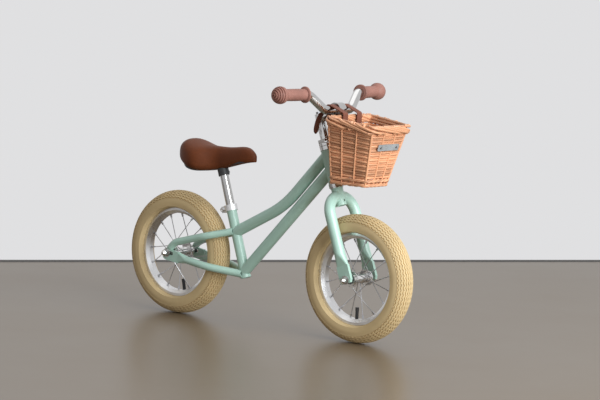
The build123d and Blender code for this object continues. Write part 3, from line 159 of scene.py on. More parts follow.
class BasketSizes(PropertyGroup):
    height: size("Height", "From the floor to the top of the rear border", 0.167)
    floor_ahead: size("Floor ahead", "From the handlebar to the floor's rear edge", 0.0244)
    floor_depth: size("Floor depth", "Front to back at the floor", 0.106)
    floor_rear_width: size("Floor rear width", "Width at the floor's rear", 0.108)
    floor_front_width: size("Floor front width", "Width at the floor's front", 0.092)
    mouth_ahead: size("Mouth ahead", "From the handlebar to the mouth's rear edge", 0.0314)
    mouth_below_bar: size("Mouth below bar", "From the handlebar down to the rear border", 0.007)
    mouth_drop: size("Mouth drop", "How much lower the front border is", 0.016)
    mouth_depth: size("Mouth depth", "Front to back at the mouth", 0.138)
    mouth_rear_width: size("Mouth rear width", "Width at the mouth's rear", 0.180)
    mouth_front_width: size("Mouth front width", "Width at the mouth's front", 0.152)
    wall_inset: size("Wall inset", "From the outer face to the middle of the weave", 0.0036)
    rod_radius: size("Rod radius", "Half the thickness of a weaver", 0.0032)
    stake_radius: size("Stake radius", "Half the thickness of an upright", 0.0021)
    post_radius: size("Post radius", "Half the thickness of a corner upright", 0.0029)
    border_radius: size("Border rod radius", "Half the thickness of a border rod", 0.0034)
    post_out: size("Post out", "How far a corner upright stands outside the wall's middle", 0.0004)
    stake_out: size("Stake out", "How far the other uprights stand outside it", 0.0016)
    weave_swing: size("Weave swing", "How far a weaver swings in and out between uprights", 0.00161)
    weave_bend: share("Weave bend", "Below 1, a rounder swing", 0.7)
    weave_in: size("Weave in", "How far the weavers lie inside the wall's middle", 0.0012)
    wobble: size("Wobble", "How far a weaver strays up and down", 0.0003)
    rows: count("Rows", "Rows of weavers", 20)
    foot_band: size("Foot band", "Height of the twisted rods at the foot", 0.022)
    border_band: size("Border band", "Height of the border", 0.023)
    core_in: size("Core in", "How far the border's core lies inside the wall's middle", 0.0024)
    core_steps: count("Core steps", "Points of the border's core in one round", 56)
    border_rods: count("Border rods", "Rods laid over each side of the border", 20)
    border_run: share("Border run", "Share of the way round that one border rod covers", 0.17)
    border_steps: count("Border steps", "Steps along a border rod", 16)
    border_slip: share("Border slip", "How far a border rod may start from its place, in bays", 0.35)
    border_sway: size("Border sway", "How far a border rod may bow up or down", 0.0022)
    border_fall: size("Border fall", "How far a border rod comes down along its way", 0.0176)
    border_rise_run: share("Border rise run", "Share of a border rod that comes up out of the wall", 0.16)
    border_tuck_run: share("Border tuck run", "Share of a border rod that goes back in", 0.14)
    border_start_in: size("Border start in", "How deep a border rod starts", 0.0022)
    border_end_in: size("Border end in", "How deep a border rod ends", 0.0020)
    wale_turns: count("Wale turns", "Turns of the twisted rods at the foot", 9)
    wale_strands: count("Wale strands", "Rods twisted together at the foot", 3)
    wale_twist: size("Wale twist", "From the middle of the twist to a rod", 0.0028)
    wale_radius: size("Wale rod radius", "Half the thickness of a twisted rod", 0.0027)
    wale_out: size("Wale out", "How far the twist lies outside the wall's middle", 0.0006)
    floor_lift: size("Floor lift", "Height of the floor's middle over the foot", 0.0032)
    floor_sticks: count("Floor sticks", "Rods of the floor from front to back", 9)
    floor_spread: share("Floor spread", "Share of the width that they take up", 0.96)
    stick_radius: size("Stick radius", "Half the thickness of such a rod", 0.0018)
    crossings: count("Crossings", "Rods across the floor", 19)
    crossing_reach: share("Crossing reach", "Share of the width that they cross", 0.94)
    crossing_radius: size("Crossing radius", "Half the thickness of a rod across", 0.0019)
    crossing_swing: size("Crossing swing", "How far it passes over and under the others", 0.0021)
    seed: count("Seed", "Start of the random draws for the rods", 12)


class GripSizes(PropertyGroup):
    corner_back: size("Corner back", "How far the bar's outer bend lies behind its middle", 0.015)
    corner_out: size("Corner out", "How far the outer bend lies to the side", 0.095)
    tip_back: size("Tip back", "How far the bar's end lies behind its middle", 0.0294)
    tip_out: size("Tip out", "How far the bar's end lies to the side", 0.204)
    rise: size("Rise", "How far the grips lie above the bar's middle", 0.0375)
    bore_radius: size("Bore radius", "Half the width of the hole for the bar", 0.0112)
    body_radius: size("Body radius", "Half the thickness of the grip", 0.0142)
    flange_radius: size("Flange radius", "Half the width of the inner disc", 0.0198)
    flange_width: size("Flange width", "Thickness of the inner disc", 0.0055)
    root_place: size("Root place", "From the inner end to the root of the body", 0.006325)
    root_rise: size("Root rise", "How much thicker the grip is at its root", 0.0006)
    body_place: size("Body place", "From the inner end to the start of the plain body", 0.00825)
    body_swell: size("Body swell", "How much thicker the body is in its middle", 0.0005)
    bulb_radius: size("Bulb radius", "Half the width of the round end", 0.0212)
    ring_depth: size("Ring depth", "Depth of the rings on the bulb", 0.0024)
    rings: count("Rings", "Rings on the bulb", 5)
    eye_radius: size("Eye radius", "Half the width of the dimple in the end", 0.0026)
    eye_depth: size("Eye depth", "Depth of the dimple", 0.003)
    eye_taper: share("Eye taper", "Width of the dimple's bottom, as a share of its mouth", 0.8)
    turn_steps: count("Turn steps", "Steps round a grip", 48)


class StrapSizes(PropertyGroup):
    spacing: size("Spacing", "From the middle of one strap to the other", 0.054)
    width: size("Width", "Width of a strap", 0.018)
    thickness: size("Thickness", "Thickness of the leather", 0.0025)
    bar_radius: size("Bar radius", "Inner radius of the turn round the bar", 0.0115)
    corner: size("Corner", "Inner radius of the turns round the border", 0.003)
    border_front: size("Border front", "From the mouth's rear edge to the turns inside the basket", 0.010)
    border_rear: size("Border rear", "From the mouth's rear edge back to the turn behind it", 0.005)
    border_drop: size("Border drop", "From the border's top to the turns under it", 0.0232)
    turn_steps: count("Turn steps", "Steps of each turn", 10)
    leather_share: share("Leather share", "Share of the thickness that the leather fills", 0.98)
    edge: size("Edge", "Rounding of the leather's edges", 0.0005)
    tail_length: size("Tail length", "Length of the free end", 0.072)
    tail_steps: count("Tail steps", "Steps along the free end", 14)
    tail_start: angle("Tail start", "Turn of the free end from straight down where it leaves the bar", 62)
    tail_end: angle("Tail end", "Turn of the free end from straight down at its tip", 6)
    tip_start: share("Tip start", "Where along the free end its round tip starts", 0.8)
    tip_width: share("Tip width", "Width left at the very end, as a share", 0.1414)


class Finishes(PropertyGroup):
    paint: tone("Paint", "Frame and fork", (0.435, 0.640, 0.545))
    rubber: tone("Tyre", "Cream-tan rubber", (0.620, 0.465, 0.250))
    saddle: tone("Saddle", "Saddle cover", (0.140, 0.037, 0.012))
    grip: tone("Grip", "Handlebar grips", (0.330, 0.156, 0.124))
    strap: tone("Strap", "Basket straps", (0.200, 0.072, 0.046))
    willow: tone("Willow", "Basket rods", (0.690, 0.335, 0.178))
    plate: tone("Plate", "Plain plate on the basket", (0.570, 0.600, 0.620))
    chrome: tone("Chrome", "Plated metal", (0.640, 0.636, 0.628))
    alloy: tone("Alloy", "Bright alloy", (0.780, 0.780, 0.785))
    steel: tone("Steel", "Bolts and axles", (0.300, 0.300, 0.310))
    spoke: tone("Spoke", "Spokes", (0.480, 0.480, 0.496))
    hub: tone("Hub", "Plated hub shells and collar bolt", (0.896, 0.8904, 0.8792))
    post: tone("Post", "Plated seat post", (0.5248, 0.52152, 0.51496))
    rivet: tone("Rivet", "Dull rivets of the plate", (0.150, 0.150, 0.155))
    black: tone("Black", "Plastic and rubber trim", (0.018, 0.018, 0.019))


class StageSettings(PropertyGroup):
    floor_tone: tone("Floor", "Floor near the bike", (0.150, 0.111, 0.072))
    floor_rough: share("Floor roughness", "Roughness of the floor", 0.27)
    floor_half: size("Floor half length", "Along its rear edge, to each side", 14)
    floor_depth: size("Floor depth", "From its rear edge forward", 18)
    edge_start: spot("Edge start", "A point on the floor's rear edge", (-1.2333, 0.3106, 0))
    edge_end: spot("Edge end", "Another point on that edge", (-0.2645, 1.9256, 0))
    # The gap is a painted shadow: a dark strip laid on the floor.
    gap_tone: tone("Gap", "Shadow gap at the rear edge of the floor", (0.060, 0.055, 0.050))
    gap_rough: share("Gap roughness", "Roughness of the dark strip in the gap", 0.6)
    gap_width: size("Gap width", "Width of the dark strip", 0.045)
    gap_lift: size("Gap lift", "Height of the dark strip over the floor", 0.0005)
    backdrop_tone: tone("Backdrop", "Pale surroundings behind the bike", (0.745, 0.745, 0.755))
    sky: share("Sky", "Even light from all round", 0.31)
    key_power: power("Key light", "Large lamp ahead of the bike", 340)
    key_tone: tone("Key tone", "Tint of the key light, a cool daylight", (0.92, 0.97, 1.0))
    key_size: size("Key size", "Side of the key lamp", 3.6)
    key_place: spot("Key place", "Where the key lamp stands", (4.4, -0.7, 1.9))
    key_aim: spot("Key aim", "What it points at", (0, 0, 0.3))
    top_power: power("Top light", "Large lamp above the bike", 38)
    top_tone: tone("Top tone", "Tint of the top light", (1, 1, 1))
    top_size: size("Top size", "Side of the top lamp", 4.0)
    top_place: spot("Top place", "Where the top lamp hangs", (-0.6, 0.6, 4.0))
    top_aim: spot("Top aim", "What it points at", (-0.2, 0.2, 0))
    lens: FloatProperty(name="Lens", description="Focal length", default=170.6, unit="CAMERA")
    sensor: FloatProperty(name="Sensor", description="Width of the sensor", default=36, unit="CAMERA")
    sight: size("Sight", "How far the camera sees", 60)
    eye: spot("Eye", "Where the camera stands", (4.4204, -5.3902, 1.0712))
    look: spot("Look", "The way the camera looks", (-0.62237, 0.77536, -0.10710))
    top: spot("Top", "The camera's upward side", (-0.10391, 0.05378, 0.99313))


class BikeSettings(PropertyGroup):
    tyres: PointerProperty(type=TyreSizes)
    saddle: PointerProperty(type=SaddleSizes)
    basket: PointerProperty(type=BasketSizes)
    grips: PointerProperty(type=GripSizes)
    straps: PointerProperty(type=StrapSizes)
    finishes: PointerProperty(type=Finishes)
    stage: PointerProperty(type=StageSettings)


class Signal:
    """A value on a shader socket. Sums written with it add Math nodes."""

    def __init__(self, look, socket):
        self.look = look
        self.socket = socket

    def __add__(self, other):
        return self.look.maths("ADD", self, other)

    def __radd__(self, other):
        return self.look.maths("ADD", other, self)

    def __sub__(self, other):
        return self.look.maths("SUBTRACT", self, other)

    def __rsub__(self, other):
        return self.look.maths("SUBTRACT", other, self)

    def __mul__(self, other):
        return self.look.maths("MULTIPLY", self, other)

    def __rmul__(self, other):
        return self.look.maths("MULTIPLY", other, self)


class Look:
    """One material and the node tree that paints it."""

    def __init__(self, name, **fixed):
        self.material = bpy.data.materials.new(name)
        self.material.use_nodes = True
        self.tree = self.material.node_tree
        self.shader = self.tree.nodes["Principled BSDF"]
        for socket, value in fixed.items():
            self.shader.inputs[socket.replace("_", " ")].default_value = value

    def node(self, kind, settings=None, inputs=None, output=0):
        """Adds a node, sets it up, then links or fills its sockets."""
        made = self.tree.nodes.new(kind)
        for key, value in (settings or {}).items():
            setattr(made, key, value)
        for key, value in (inputs or {}).items():
            if isinstance(value, Signal):
                self.tree.links.new(value.socket, made.inputs[key])
            else:
                made.inputs[key].default_value = value
        return Signal(self, made.outputs[output])

    def maths(self, operation, first, second):
        return self.node("ShaderNodeMath", {"operation": operation}, {0: first, 1: second})

    def place(self, output="Object", stretch=(1, 1, 1)):
        """Coordinates on the piece, stretched along its axes."""
        where = self.node("ShaderNodeTexCoord", output=output)
        return self.node("ShaderNodeMapping", None, {"Vector": where, "Scale": stretch})

    def noise(self, where, scale, detail=3.0, rough=0.5):
        inputs = {"Vector": where, "Scale": scale, "Detail": detail, "Roughness": rough}
        return self.node("ShaderNodeTexNoise", None, inputs)

    def cells(self, where, scale, feature="F1"):
        return self.node("ShaderNodeTexVoronoi", {"feature": feature}, {"Vector": where, "Scale": scale})

    def spread(self, value, low, high, to_low=0.0, to_high=1.0):
        """Maps a range of values to another, and holds it there."""
        limits = {"Value": value, "From Min": low, "From Max": high, "To Min": to_low, "To Max": to_high}
        return self.node("ShaderNodeMapRange", None, limits)

    def mix(self, factor, first, second):
        """Blends two colours, each a tone or a signal."""
        first = first if isinstance(first, Signal) else (*first, 1)
        second = second if isinstance(second, Signal) else (*second, 1)
        return self.node("ShaderNodeMix", {"data_type": "RGBA"}, {0: factor, 6: first, 7: second}, output=2)

    def drift(self, value, limits, colour, shades):
        """A tone that goes from a darker to a lighter shade as the value passes its limits."""
        darker, lighter = (scaled(colour, shade) for shade in shades)
        return self.mix(self.spread(value, *limits), darker, lighter)

    def attribute(self, name):
        return self.node("ShaderNodeAttribute", {"attribute_name": name}, output="Fac")

    def feed(self, socket, value):
        self.tree.links.new(value.socket, self.shader.inputs[socket])

    def bump(self, height, distance, strength=1.0):
        inputs = {"Height": height, "Distance": distance, "Strength": strength}
        self.feed("Normal", self.node("ShaderNodeBump", None, inputs))


def scaled(colour, factor):
    """A tone made darker or lighter."""
    return tuple(min(1.0, channel * factor) for channel in colour)


def paint_look(tones):
    """Smooth satin paint with faint clouds of shade and a fine orange peel."""
    look = Look("mint_paint", Coat_Weight=0.35, Coat_Roughness=0.22)
    where = look.place()
    cloud = look.noise(where, scale=9)
    peel = look.noise(where, scale=620, detail=2)
    look.feed("Base Color", look.drift(cloud, (0.3, 0.7), tones.paint, (0.94, 1.04)))
    look.feed("Roughness", 0.30 + 0.12 * cloud)
    look.bump(peel, distance=0.00012, strength=0.35)
    return look.material


def metal_look(name, colour, rough, grain, stretch=(1, 1, 1)):
    """Bare or plated metal: smudges in the gloss, and a fine grain that may be stretched into lines."""
    look = Look(name, Metallic=1.0)
    smudge = look.noise(look.place(), scale=38, detail=4)
    lines = look.noise(look.place(stretch=stretch), scale=420, detail=2)
    look.feed("Base Color", look.drift(smudge, (0.3, 0.75), colour, (0.9, 1.06)))
    look.feed("Roughness", look.spread(smudge, 0.3, 0.7, *rough) + grain * lines)
    look.bump(lines, distance=0.00005, strength=0.5 * grain)
    return look.material


def rubber_look(tones):
    """Cream-tan tyre rubber in soft clouds of shade, with fine moulded grain."""
    look = Look("tan_rubber", Specular_IOR_Level=0.35)
    where = look.place()
    cloud = look.noise(where, scale=11, detail=5)
    grain = look.noise(where, scale=750)
    look.feed("Base Color", look.drift(cloud, (0.28, 0.72), tones.rubber, (0.9, 1.1)))
    look.feed("Roughness", 0.62 + 0.2 * cloud)
    look.bump(grain, distance=0.0002, strength=0.5)
    return look.material


def leather_look(name, colour, pore_scale, rough):
    """Brown leather: pebbled grain with painted shade in its creases, and rubbed paler in patches."""
    look = Look(name, Specular_IOR_Level=0.2)
    where = look.place()
    pebble = look.cells(where, pore_scale)
    wear = look.noise(where, scale=16, detail=5, rough=0.6)
    fine = look.noise(where, scale=1200, detail=2)
    worn = look.drift(wear, (0.3, 0.75), colour, (0.82, 1.22))
    # Painted shade: the colour goes darker down in the creases between the pebbles.
    crease = look.spread(pebble, 0.25, 0.75, 0.0, 0.35)
    look.feed("Base Color", look.mix(crease, worn, scaled(colour, 0.55)))
    look.feed("Roughness", rough + 0.16 * wear)
    look.bump(1 - pebble + 0.3 * fine, distance=0.0003, strength=0.4)
    return look.material


def willow_look(tones):
    """Willow rods: each its own shade, drawn at random for most rods and set as painted highlight on the uprights
    and painted shade on the border's core; with streaks along it and darker patches.
    """
    look = Look("willow_rod", Coat_Weight=0.35, Coat_Roughness=0.4)
    streak = look.noise(look.place("UV", stretch=(60, 900, 1)), scale=1, detail=4)
    patch = look.noise(look.place("UV", stretch=(14, 30, 1)), scale=1)
    grain = look.noise(look.place(), scale=900, detail=2)
    # Per rod: a random tone, or painted highlight on the uprights and painted shade on the border's core.
    shade = look.attribute("rod_shade")
    pale = look.mix(shade, scaled(tones.willow, 0.72), scaled(tones.willow, 1.3))
    toned = look.mix(look.spread(patch, 0.35, 0.75, 0.0, 0.5), pale, scaled(tones.willow, 0.62))
    dark = look.spread(streak, 0.5, 0.8, 0.0, 0.45)
    look.feed("Base Color", look.mix(dark, toned, scaled(tones.willow, 0.45)))
    look.feed("Roughness", 0.38 + 0.25 * patch)
    look.bump(streak + 0.4 * grain, distance=0.00025, strength=0.5)
    return look.material


def plastic_look(name, colour, rough):
    """Moulded black plastic or rubber with a fine spark-eroded grain."""
    look = Look(name)
    where = look.place()
    cloud = look.noise(where, scale=40)
    grain = look.noise(where, scale=1500, detail=2)
    look.feed("Base Color", look.mix(cloud, colour, scaled(colour, 1.9)))
    look.feed("Roughness", rough + 0.15 * cloud)
    look.bump(grain, distance=0.0001, strength=0.4)
    return look.material


def floor_look(name, colour, rough):
    """A plain trowelled floor, or the dark strip at its rear edge."""
    look = Look(name)
    cloud = look.noise(look.place(), scale=1.3, detail=5, rough=0.6)
    look.feed("Base Color", look.drift(cloud, (0.3, 0.7), colour, (0.96, 1.04)))
    look.feed("Roughness", rough + 0.12 * cloud)
    return look.material


def add_object(name, mesh):
    piece = bpy.data.objects.new(name, mesh)
    bpy.context.scene.collection.objects.link(piece)
    return piece


def to_object(name, shape, crease=35):
    """Turns a bmesh into an object with soft shading and creases above an angle in degrees."""
    mesh = bpy.data.meshes.new(name)
    shape.to_mesh(mesh)
    shape.free()
    mesh.shade_smooth()
    mesh.set_sharp_from_angle(angle=math.radians(crease))
    return add_object(name, mesh)


def dress(piece, material, body, slot, *replaced):
    """Gives a piece its finish, the body that it rides on and the nodes that it stands for."""
    piece.data.materials.clear()
    piece.data.materials.append(material)
    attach(piece, body)
    if replaced:
        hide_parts(*replaced)


def finish_edges(piece, thickness=0.0, edge=0.0, segments=2, level=0):
    """Adds the wall, the rounded edges and the smoothing that a piece asks for."""
    if thickness:
        wall = piece.modifiers.new("wall", "SOLIDIFY")
        wall.thickness = thickness
        wall.offset = 0
    if edge:
        bevel = piece.modifiers.new("edge", "BEVEL")
        bevel.width = edge
        bevel.segments = segments
        bevel.limit_method = "ANGLE"
    if level:
        smooth = piece.modifiers.new("smooth", "SUBSURF")
        smooth.levels = level
        smooth.render_levels = level


def spun(profile, steps, closed):
    """A profile of (along, radius) points spun once round the Y axis."""
    shape = bmesh.new()
    corners = [shape.verts.new((radius, along, 0)) for along, radius in profile]
    pairs = list(zip(corners, corners[1:]))
    if closed:
        pairs.append((corners[-1], corners[0]))
    edges = [shape.edges.new(pair) for pair in pairs]
    bmesh.ops.spin(
        shape, geom=corners + edges, axis=to_left, cent=(0, 0, 0), angle=math.tau, steps=steps, use_merge=True
    )
    bmesh.ops.remove_doubles(shape, verts=shape.verts, dist=1e-6)
    bmesh.ops.recalc_face_normals(shape, faces=shape.faces)
    return shape


def half_groove_angle(sizes):
    """Half the arc of the crown that one groove takes up."""
    return sizes.groove_width / sizes.crown_radius / 2


def tyre_profile(sizes):
    """The tyre's section: ribs over the crown, plain walls, and beads that sit in the rim."""
    crown_middle = sizes.outside_radius - sizes.crown_radius

    def skin(turn, depth):
        radius = sizes.crown_radius - depth
        return radius * math.sin(turn), crown_middle + radius * math.cos(turn)

    half_groove = half_groove_angle(sizes)
    half_floor = half_groove * sizes.groove_floor
    pitch = 2 * sizes.tread_angle / (sizes.groove_count - 1)
    wall_step = (sizes.wall_angle - sizes.tread_angle) / sizes.wall_steps
    wall = [(sizes.tread_angle + wall_step * (k + 1), sizes.wall_drop) for k in range(sizes.wall_steps)]
    tread = []
    for groove in range(sizes.groove_count):
        middle = -sizes.tread_angle + pitch * groove
        tread += [(middle - half_groove, 0), (middle - half_floor, sizes.groove_depth)]
        tread += [(middle + half_floor, sizes.groove_depth), (middle + half_groove, 0)]
    outer = [(-turn, depth) for turn, depth in reversed(wall)] + tread + wall
    cheek = [(sizes.cheek_out, crown_middle - sizes.cheek_drop)]
    cheek.append((sizes.wall_foot_out, crown_middle - sizes.wall_foot_drop))
    bead = [(sizes.bead_offset, sizes.flange_radius), (sizes.bead_offset, sizes.bead_radius)]
    inner_face = sizes.bead_offset * sizes.bead_wall
    lining = [(inner_face, sizes.bead_radius), (inner_face, sizes.flange_radius)]
    half_lining = cheek + bead + lining
    points = [(-along, radius) for along, radius in reversed(half_lining)]
    points += [skin(turn, depth) for turn, depth in outer]
    return points + half_lining


class BIKE_OT_tyres(Operator):
    """Make two ribbed tyres"""

    bl_idname = "bike.tyres"
    bl_label = "Tyres"

    def execute(self, context):
        settings = context.scene.balance_bike
        sizes = settings.tyres
        rubber = rubber_look(settings.finishes)
        crown_middle = sizes.outside_radius - sizes.crown_radius
        wavy_edge = sizes.tread_angle + half_groove_angle(sizes) / 2
        for end, axle in axles.items():
            shape = spun(tyre_profile(sizes), sizes.steps, closed=True)
            for vert in shape.verts:
                turn = math.atan2(vert.co.z, vert.co.x)
                radius = math.hypot(vert.co.x, vert.co.z)
                lean = math.atan2(vert.co.y, radius - crown_middle)
                depth = math.hypot(vert.co.y, radius - crown_middle)
                if abs(lean) > wavy_edge:
                    continue
                lean += sizes.wave_swing / sizes.crown_radius * math.sin(sizes.wave_count * turn)
                radius = crown_middle + depth * math.cos(lean)
                vert.co = (radius * math.cos(turn), depth * math.sin(lean), radius * math.sin(turn))
            bmesh.ops.translate(shape, verts=shape.verts, vec=axle)
            piece = to_object(f"{end}_ribbed_tyre", shape)
            dress(piece, rubber, f"{end}_wheel", "tan_tyre", f"{end}_tyre")
        return {"FINISHED"}


def ease(value):
    """A soft step from 0 to 1."""
    held = min(max(value, 0), 1)
    return held * held * (3 - 2 * held)


def lobe(place, middle, spread):
    """A soft rise to 1 at its middle."""
    return math.exp(-(((place - middle) / spread) ** 2))


def saddle_section(sizes, skirt, place):
    """Half width, lower edge and top of the saddle at a share of its length."""
    taper = 1 - ease((place - sizes.taper_start) / sizes.taper_run)
    body = sizes.nose_width + (sizes.width - sizes.nose_width) * taper
    tail = math.sqrt(max(0, 1 - max(0, 1 - place / sizes.tail_round) ** 2))
    nose = math.sqrt(max(0, 1 - max(0, (place - 1) / sizes.nose_round + 1) ** 2))
    half = body / 2 * tail * nose
    low = skirt + sizes.tail_skirt_rise * max(0, 1 - place / sizes.tail_skirt_run) ** 2
    low += sizes.nose_skirt_rise * ease((place - sizes.nose_skirt_start) / sizes.nose_skirt_run)
    hump = sizes.hump * lobe(place, sizes.hump_place, sizes.hump_spread)
    nose_hump = sizes.nose_hump * lobe(place, sizes.nose_hump_place, sizes.nose_hump_spread)
    tips = max(0, 1 - place / sizes.tip_run) ** 2 + max(0, 1 - (1 - place) / sizes.tip_run) ** 2
    return half, low, skirt + sizes.waist + hump + nose_hump - sizes.tip_drop * tips


def bulged(value, power):
    """A share from -1 to 1 raised to a power, with its sign kept."""
    return math.copysign(abs(value) ** power, value)


def saddle_ring(sizes, box, place):
    """Points round one cross section: a full crown, rounded shoulders and a nearly flat underside."""
    tail, nose = box[0].x - sizes.end_swell, box[1].x + sizes.end_swell
    half, low, high = saddle_section(sizes, box[0].z - sizes.edge_drop, place)
    middle = low + (high - low) * sizes.widest_line
    ring = []
    for k in range(2 * sizes.points):
        turn = math.tau * (k + 0.5) / (2 * sizes.points)
        across, up = math.cos(turn), math.sin(turn)
        if up > 0:
            wide = bulged(across, sizes.top_width_power)
            tall = (high - middle) * bulged(up, sizes.top_height_power)
        else:
            wide = bulged(across, sizes.under_power) * (1 - sizes.under_tuck * up * up)
            tall = (middle - low) * bulged(up, sizes.under_power)
        ring.append(Vector((tail + (nose - tail) * place, half * wide, middle + tall)))
    return ring


class BIKE_OT_saddle(Operator):
    """Make the padded saddle cover"""

    bl_idname = "bike.saddle"
    bl_label = "Saddle"

    def execute(self, context):
        settings = context.scene.balance_bike
        sizes = settings.saddle
        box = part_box("saddle_cover")
        shape = bmesh.new()
        loop = None
        for station in range(sizes.stations + 1):
            swing = math.pi * station / sizes.stations
            place = sizes.end_gap + (1 - 2 * sizes.end_gap) * (1 - math.cos(swing)) / 2
            ring = saddle_ring(sizes, box, place)
            if loop is None:
                verts = [shape.verts.new(point) for point in ring]
                loop = [shape.edges.new(pair) for pair in zip(verts, verts[1:] + verts[:1])]
                first_loop = list(loop)
                continue
            grown = bmesh.ops.extrude_edge_only(shape, edges=loop)["geom"]
            loop = [item for item in grown if isinstance(item, bmesh.types.BMEdge)]
            fresh = [item for item in grown if isinstance(item, bmesh.types.BMVert)]
            for vert, point in zip(fresh, ring):
                vert.co = point
        bmesh.ops.edgeloop_fill(shape, edges=first_loop)
        bmesh.ops.edgeloop_fill(shape, edges=loop)
        bmesh.ops.recalc_face_normals(shape, faces=shape.faces)
        piece = to_object("saddle_cushion", shape, 80)
        finish_edges(piece, level=2)
        cover = leather_look("saddle_leather", settings.finishes.saddle, pore_scale=420, rough=0.42)
        dress(piece, cover, "seat_unit", "saddle_leather", "saddle_cover")
        return {"FINISHED"}


class Rods:
    """A bundle of round rods in one mesh. Each keeps its own shade, and its UV map is in metres."""

    def __init__(self, seed):
        self.shape = bmesh.new()
        self.shade = self.shape.verts.layers.float.new("rod_shade")
        self.draw = random.Random(seed)

    def add(self, points, radius, closed=False, fine=3, shade=None):
        """Runs one rod along a smooth line near the points."""
        curve = bpy.data.curves.new("rod", "CURVE")
        curve.dimensions = "3D"
        curve.bevel_depth = radius
        curve.bevel_resolution = 2
        curve.use_fill_caps = not closed
        spline = curve.splines.new("NURBS")
        spline.points.add(len(points) - 1)
        for held, point in zip(spline.points, points):
            held.co = (*point, 1)
        spline.use_cyclic_u = closed
        spline.use_endpoint_u = not closed
        spline.order_u = 4
        spline.resolution_u = fine
        carrier = add_object("rod", curve)
        graph = bpy.context.evaluated_depsgraph_get()
        mesh = bpy.data.meshes.new_from_object(carrier.evaluated_get(graph))
        long = sum((b - a).length for a, b in zip(points, points[1:]))
        for corner in mesh.uv_layers[0].data:
            corner.uv = (corner.uv.x * long, corner.uv.y * math.tau * radius)
        before = len(self.shape.verts)
        self.shape.from_mesh(mesh)
        self.shape.verts.ensure_lookup_table()
        shade = self.draw.random() if shade is None else shade
        for index in range(before, len(self.shape.verts)):
            self.shape.verts[index][self.shade] = shade
        bpy.data.objects.remove(carrier)
        bpy.data.curves.remove(curve)
        bpy.data.meshes.remove(mesh)

    def finish(self, name):
        bmesh.ops.remove_doubles(self.shape, verts=self.shape.verts, dist=1e-6)
        return to_object(name, self.shape, 60)


class BasketWall:
    """The wall of the basket: points on it by place round it and share of its height."""

    # Bays between uprights on the right side, the front, the left side and the rear
    bays = (3, 3, 3, 5)
    # How far to each side, in bays, a point looks to round the corners
    rounding = 0.3

    def __init__(self, sizes):
        inset = sizes.wall_inset
        self.floor_rear = bar_middle.x + sizes.floor_ahead
        self.mouth_rear = bar_middle.x + sizes.mouth_ahead
        self.top = bar_middle.z - sizes.mouth_below_bar
        self.foot = self.top - sizes.height
        low = self.outline(
            self.floor_rear, sizes.floor_depth, sizes.floor_rear_width, sizes.floor_front_width, inset
        )
        high = self.outline(
            self.mouth_rear, sizes.mouth_depth, sizes.mouth_rear_width, sizes.mouth_front_width, inset
        )
        fall = sizes.mouth_drop / sizes.mouth_depth
        self.low = [Vector((x, y, self.foot)) for x, y in low]
        self.high = [Vector((x, y, self.top - fall * (x - self.mouth_rear))) for x, y in high]
        self.count = len(self.low)
        self.corners = [sum(self.bays[:side]) for side in range(len(self.bays))]

    def outline(self, rear, depth, rear_width, front_width, inset):
        """Where the uprights stand round the basket, from the rear right corner."""
        corners = [
            (rear + inset, inset - rear_width / 2),
            (rear + depth - inset, inset - front_width / 2),
            (rear + depth - inset, front_width / 2 - inset),
            (rear + inset, rear_width / 2 - inset),
        ]
        places = []
        for start, end, bays in zip(corners, corners[1:] + corners[:1], self.bays):
            for bay in range(bays):
                part = bay / bays
                places.append((start[0] + (end[0] - start[0]) * part, start[1] + (end[1] - start[1]) * part))
        return places

    def at(self, place, height):
        """A point of the wall, by its count of uprights from the rear right corner. Corners are round."""
        ahead = self.straight(place + self.rounding, height)
        behind = self.straight(place - self.rounding, height)
        return self.straight(place, height) / 2 + (ahead + behind) / 4

    def straight(self, place, height):
        """The same point on sides that meet in sharp corners."""
        index = math.floor(place)
        part = place - index
        first = self.low[index % self.count].lerp(self.high[index % self.count], height)
        second = self.low[(index + 1) % self.count].lerp(self.high[(index + 1) % self.count], height)
        return first.lerp(second, part)

    def outward(self, place, height):
        """The level way out of the basket there."""
        run = self.at(place + self.rounding, height) - self.at(place - self.rounding, height)
        return Vector((run.y, -run.x, 0)).normalized()

    def point(self, place, height, out=0.0, up=0.0):
        return self.at(place, height) + self.outward(place, height) * out + upward * up


def weave_wall(rods, wall, sizes):
    """Uprights, and rows of weavers that swing out in one bay and in at the next."""
    upright_heights = (0.0, 0.3, 0.6, 0.93)
    # Painted highlight: the uprights are made pale for the light that their outer edges catch.
    upright_painted_highlight = 0.95
    bay_parts = (0.0, 0.14, 0.3, 0.5, 0.7, 0.86)
    thin, thick = 0.93, 1.03
    for upright in range(wall.count):
        corner = upright in wall.corners
        radius = sizes.post_radius if corner else sizes.stake_radius
        out = sizes.post_out if corner else sizes.stake_out
        points = [wall.point(upright, height, out) for height in upright_heights]
        rods.add(points, radius, shade=upright_painted_highlight)
    pitch = (sizes.height - sizes.foot_band - sizes.border_band) / sizes.rows
    for row in range(sizes.rows):
        height = (sizes.foot_band + pitch * (row + 0.5)) / sizes.height
        points = []
        for bay in range(wall.count):
            side = 1 if (bay + row) % 2 else -1
            for part in bay_parts:
                swing = side * sizes.weave_swing * math.sin(math.pi * part) ** sizes.weave_bend
                wobble = rods.draw.uniform(-sizes.wobble, sizes.wobble)
                points.append(wall.point(bay + part, height, swing - sizes.weave_in, wobble))
        rods.add(points, sizes.rod_radius * rods.draw.uniform(thin, thick), closed=True, fine=2)


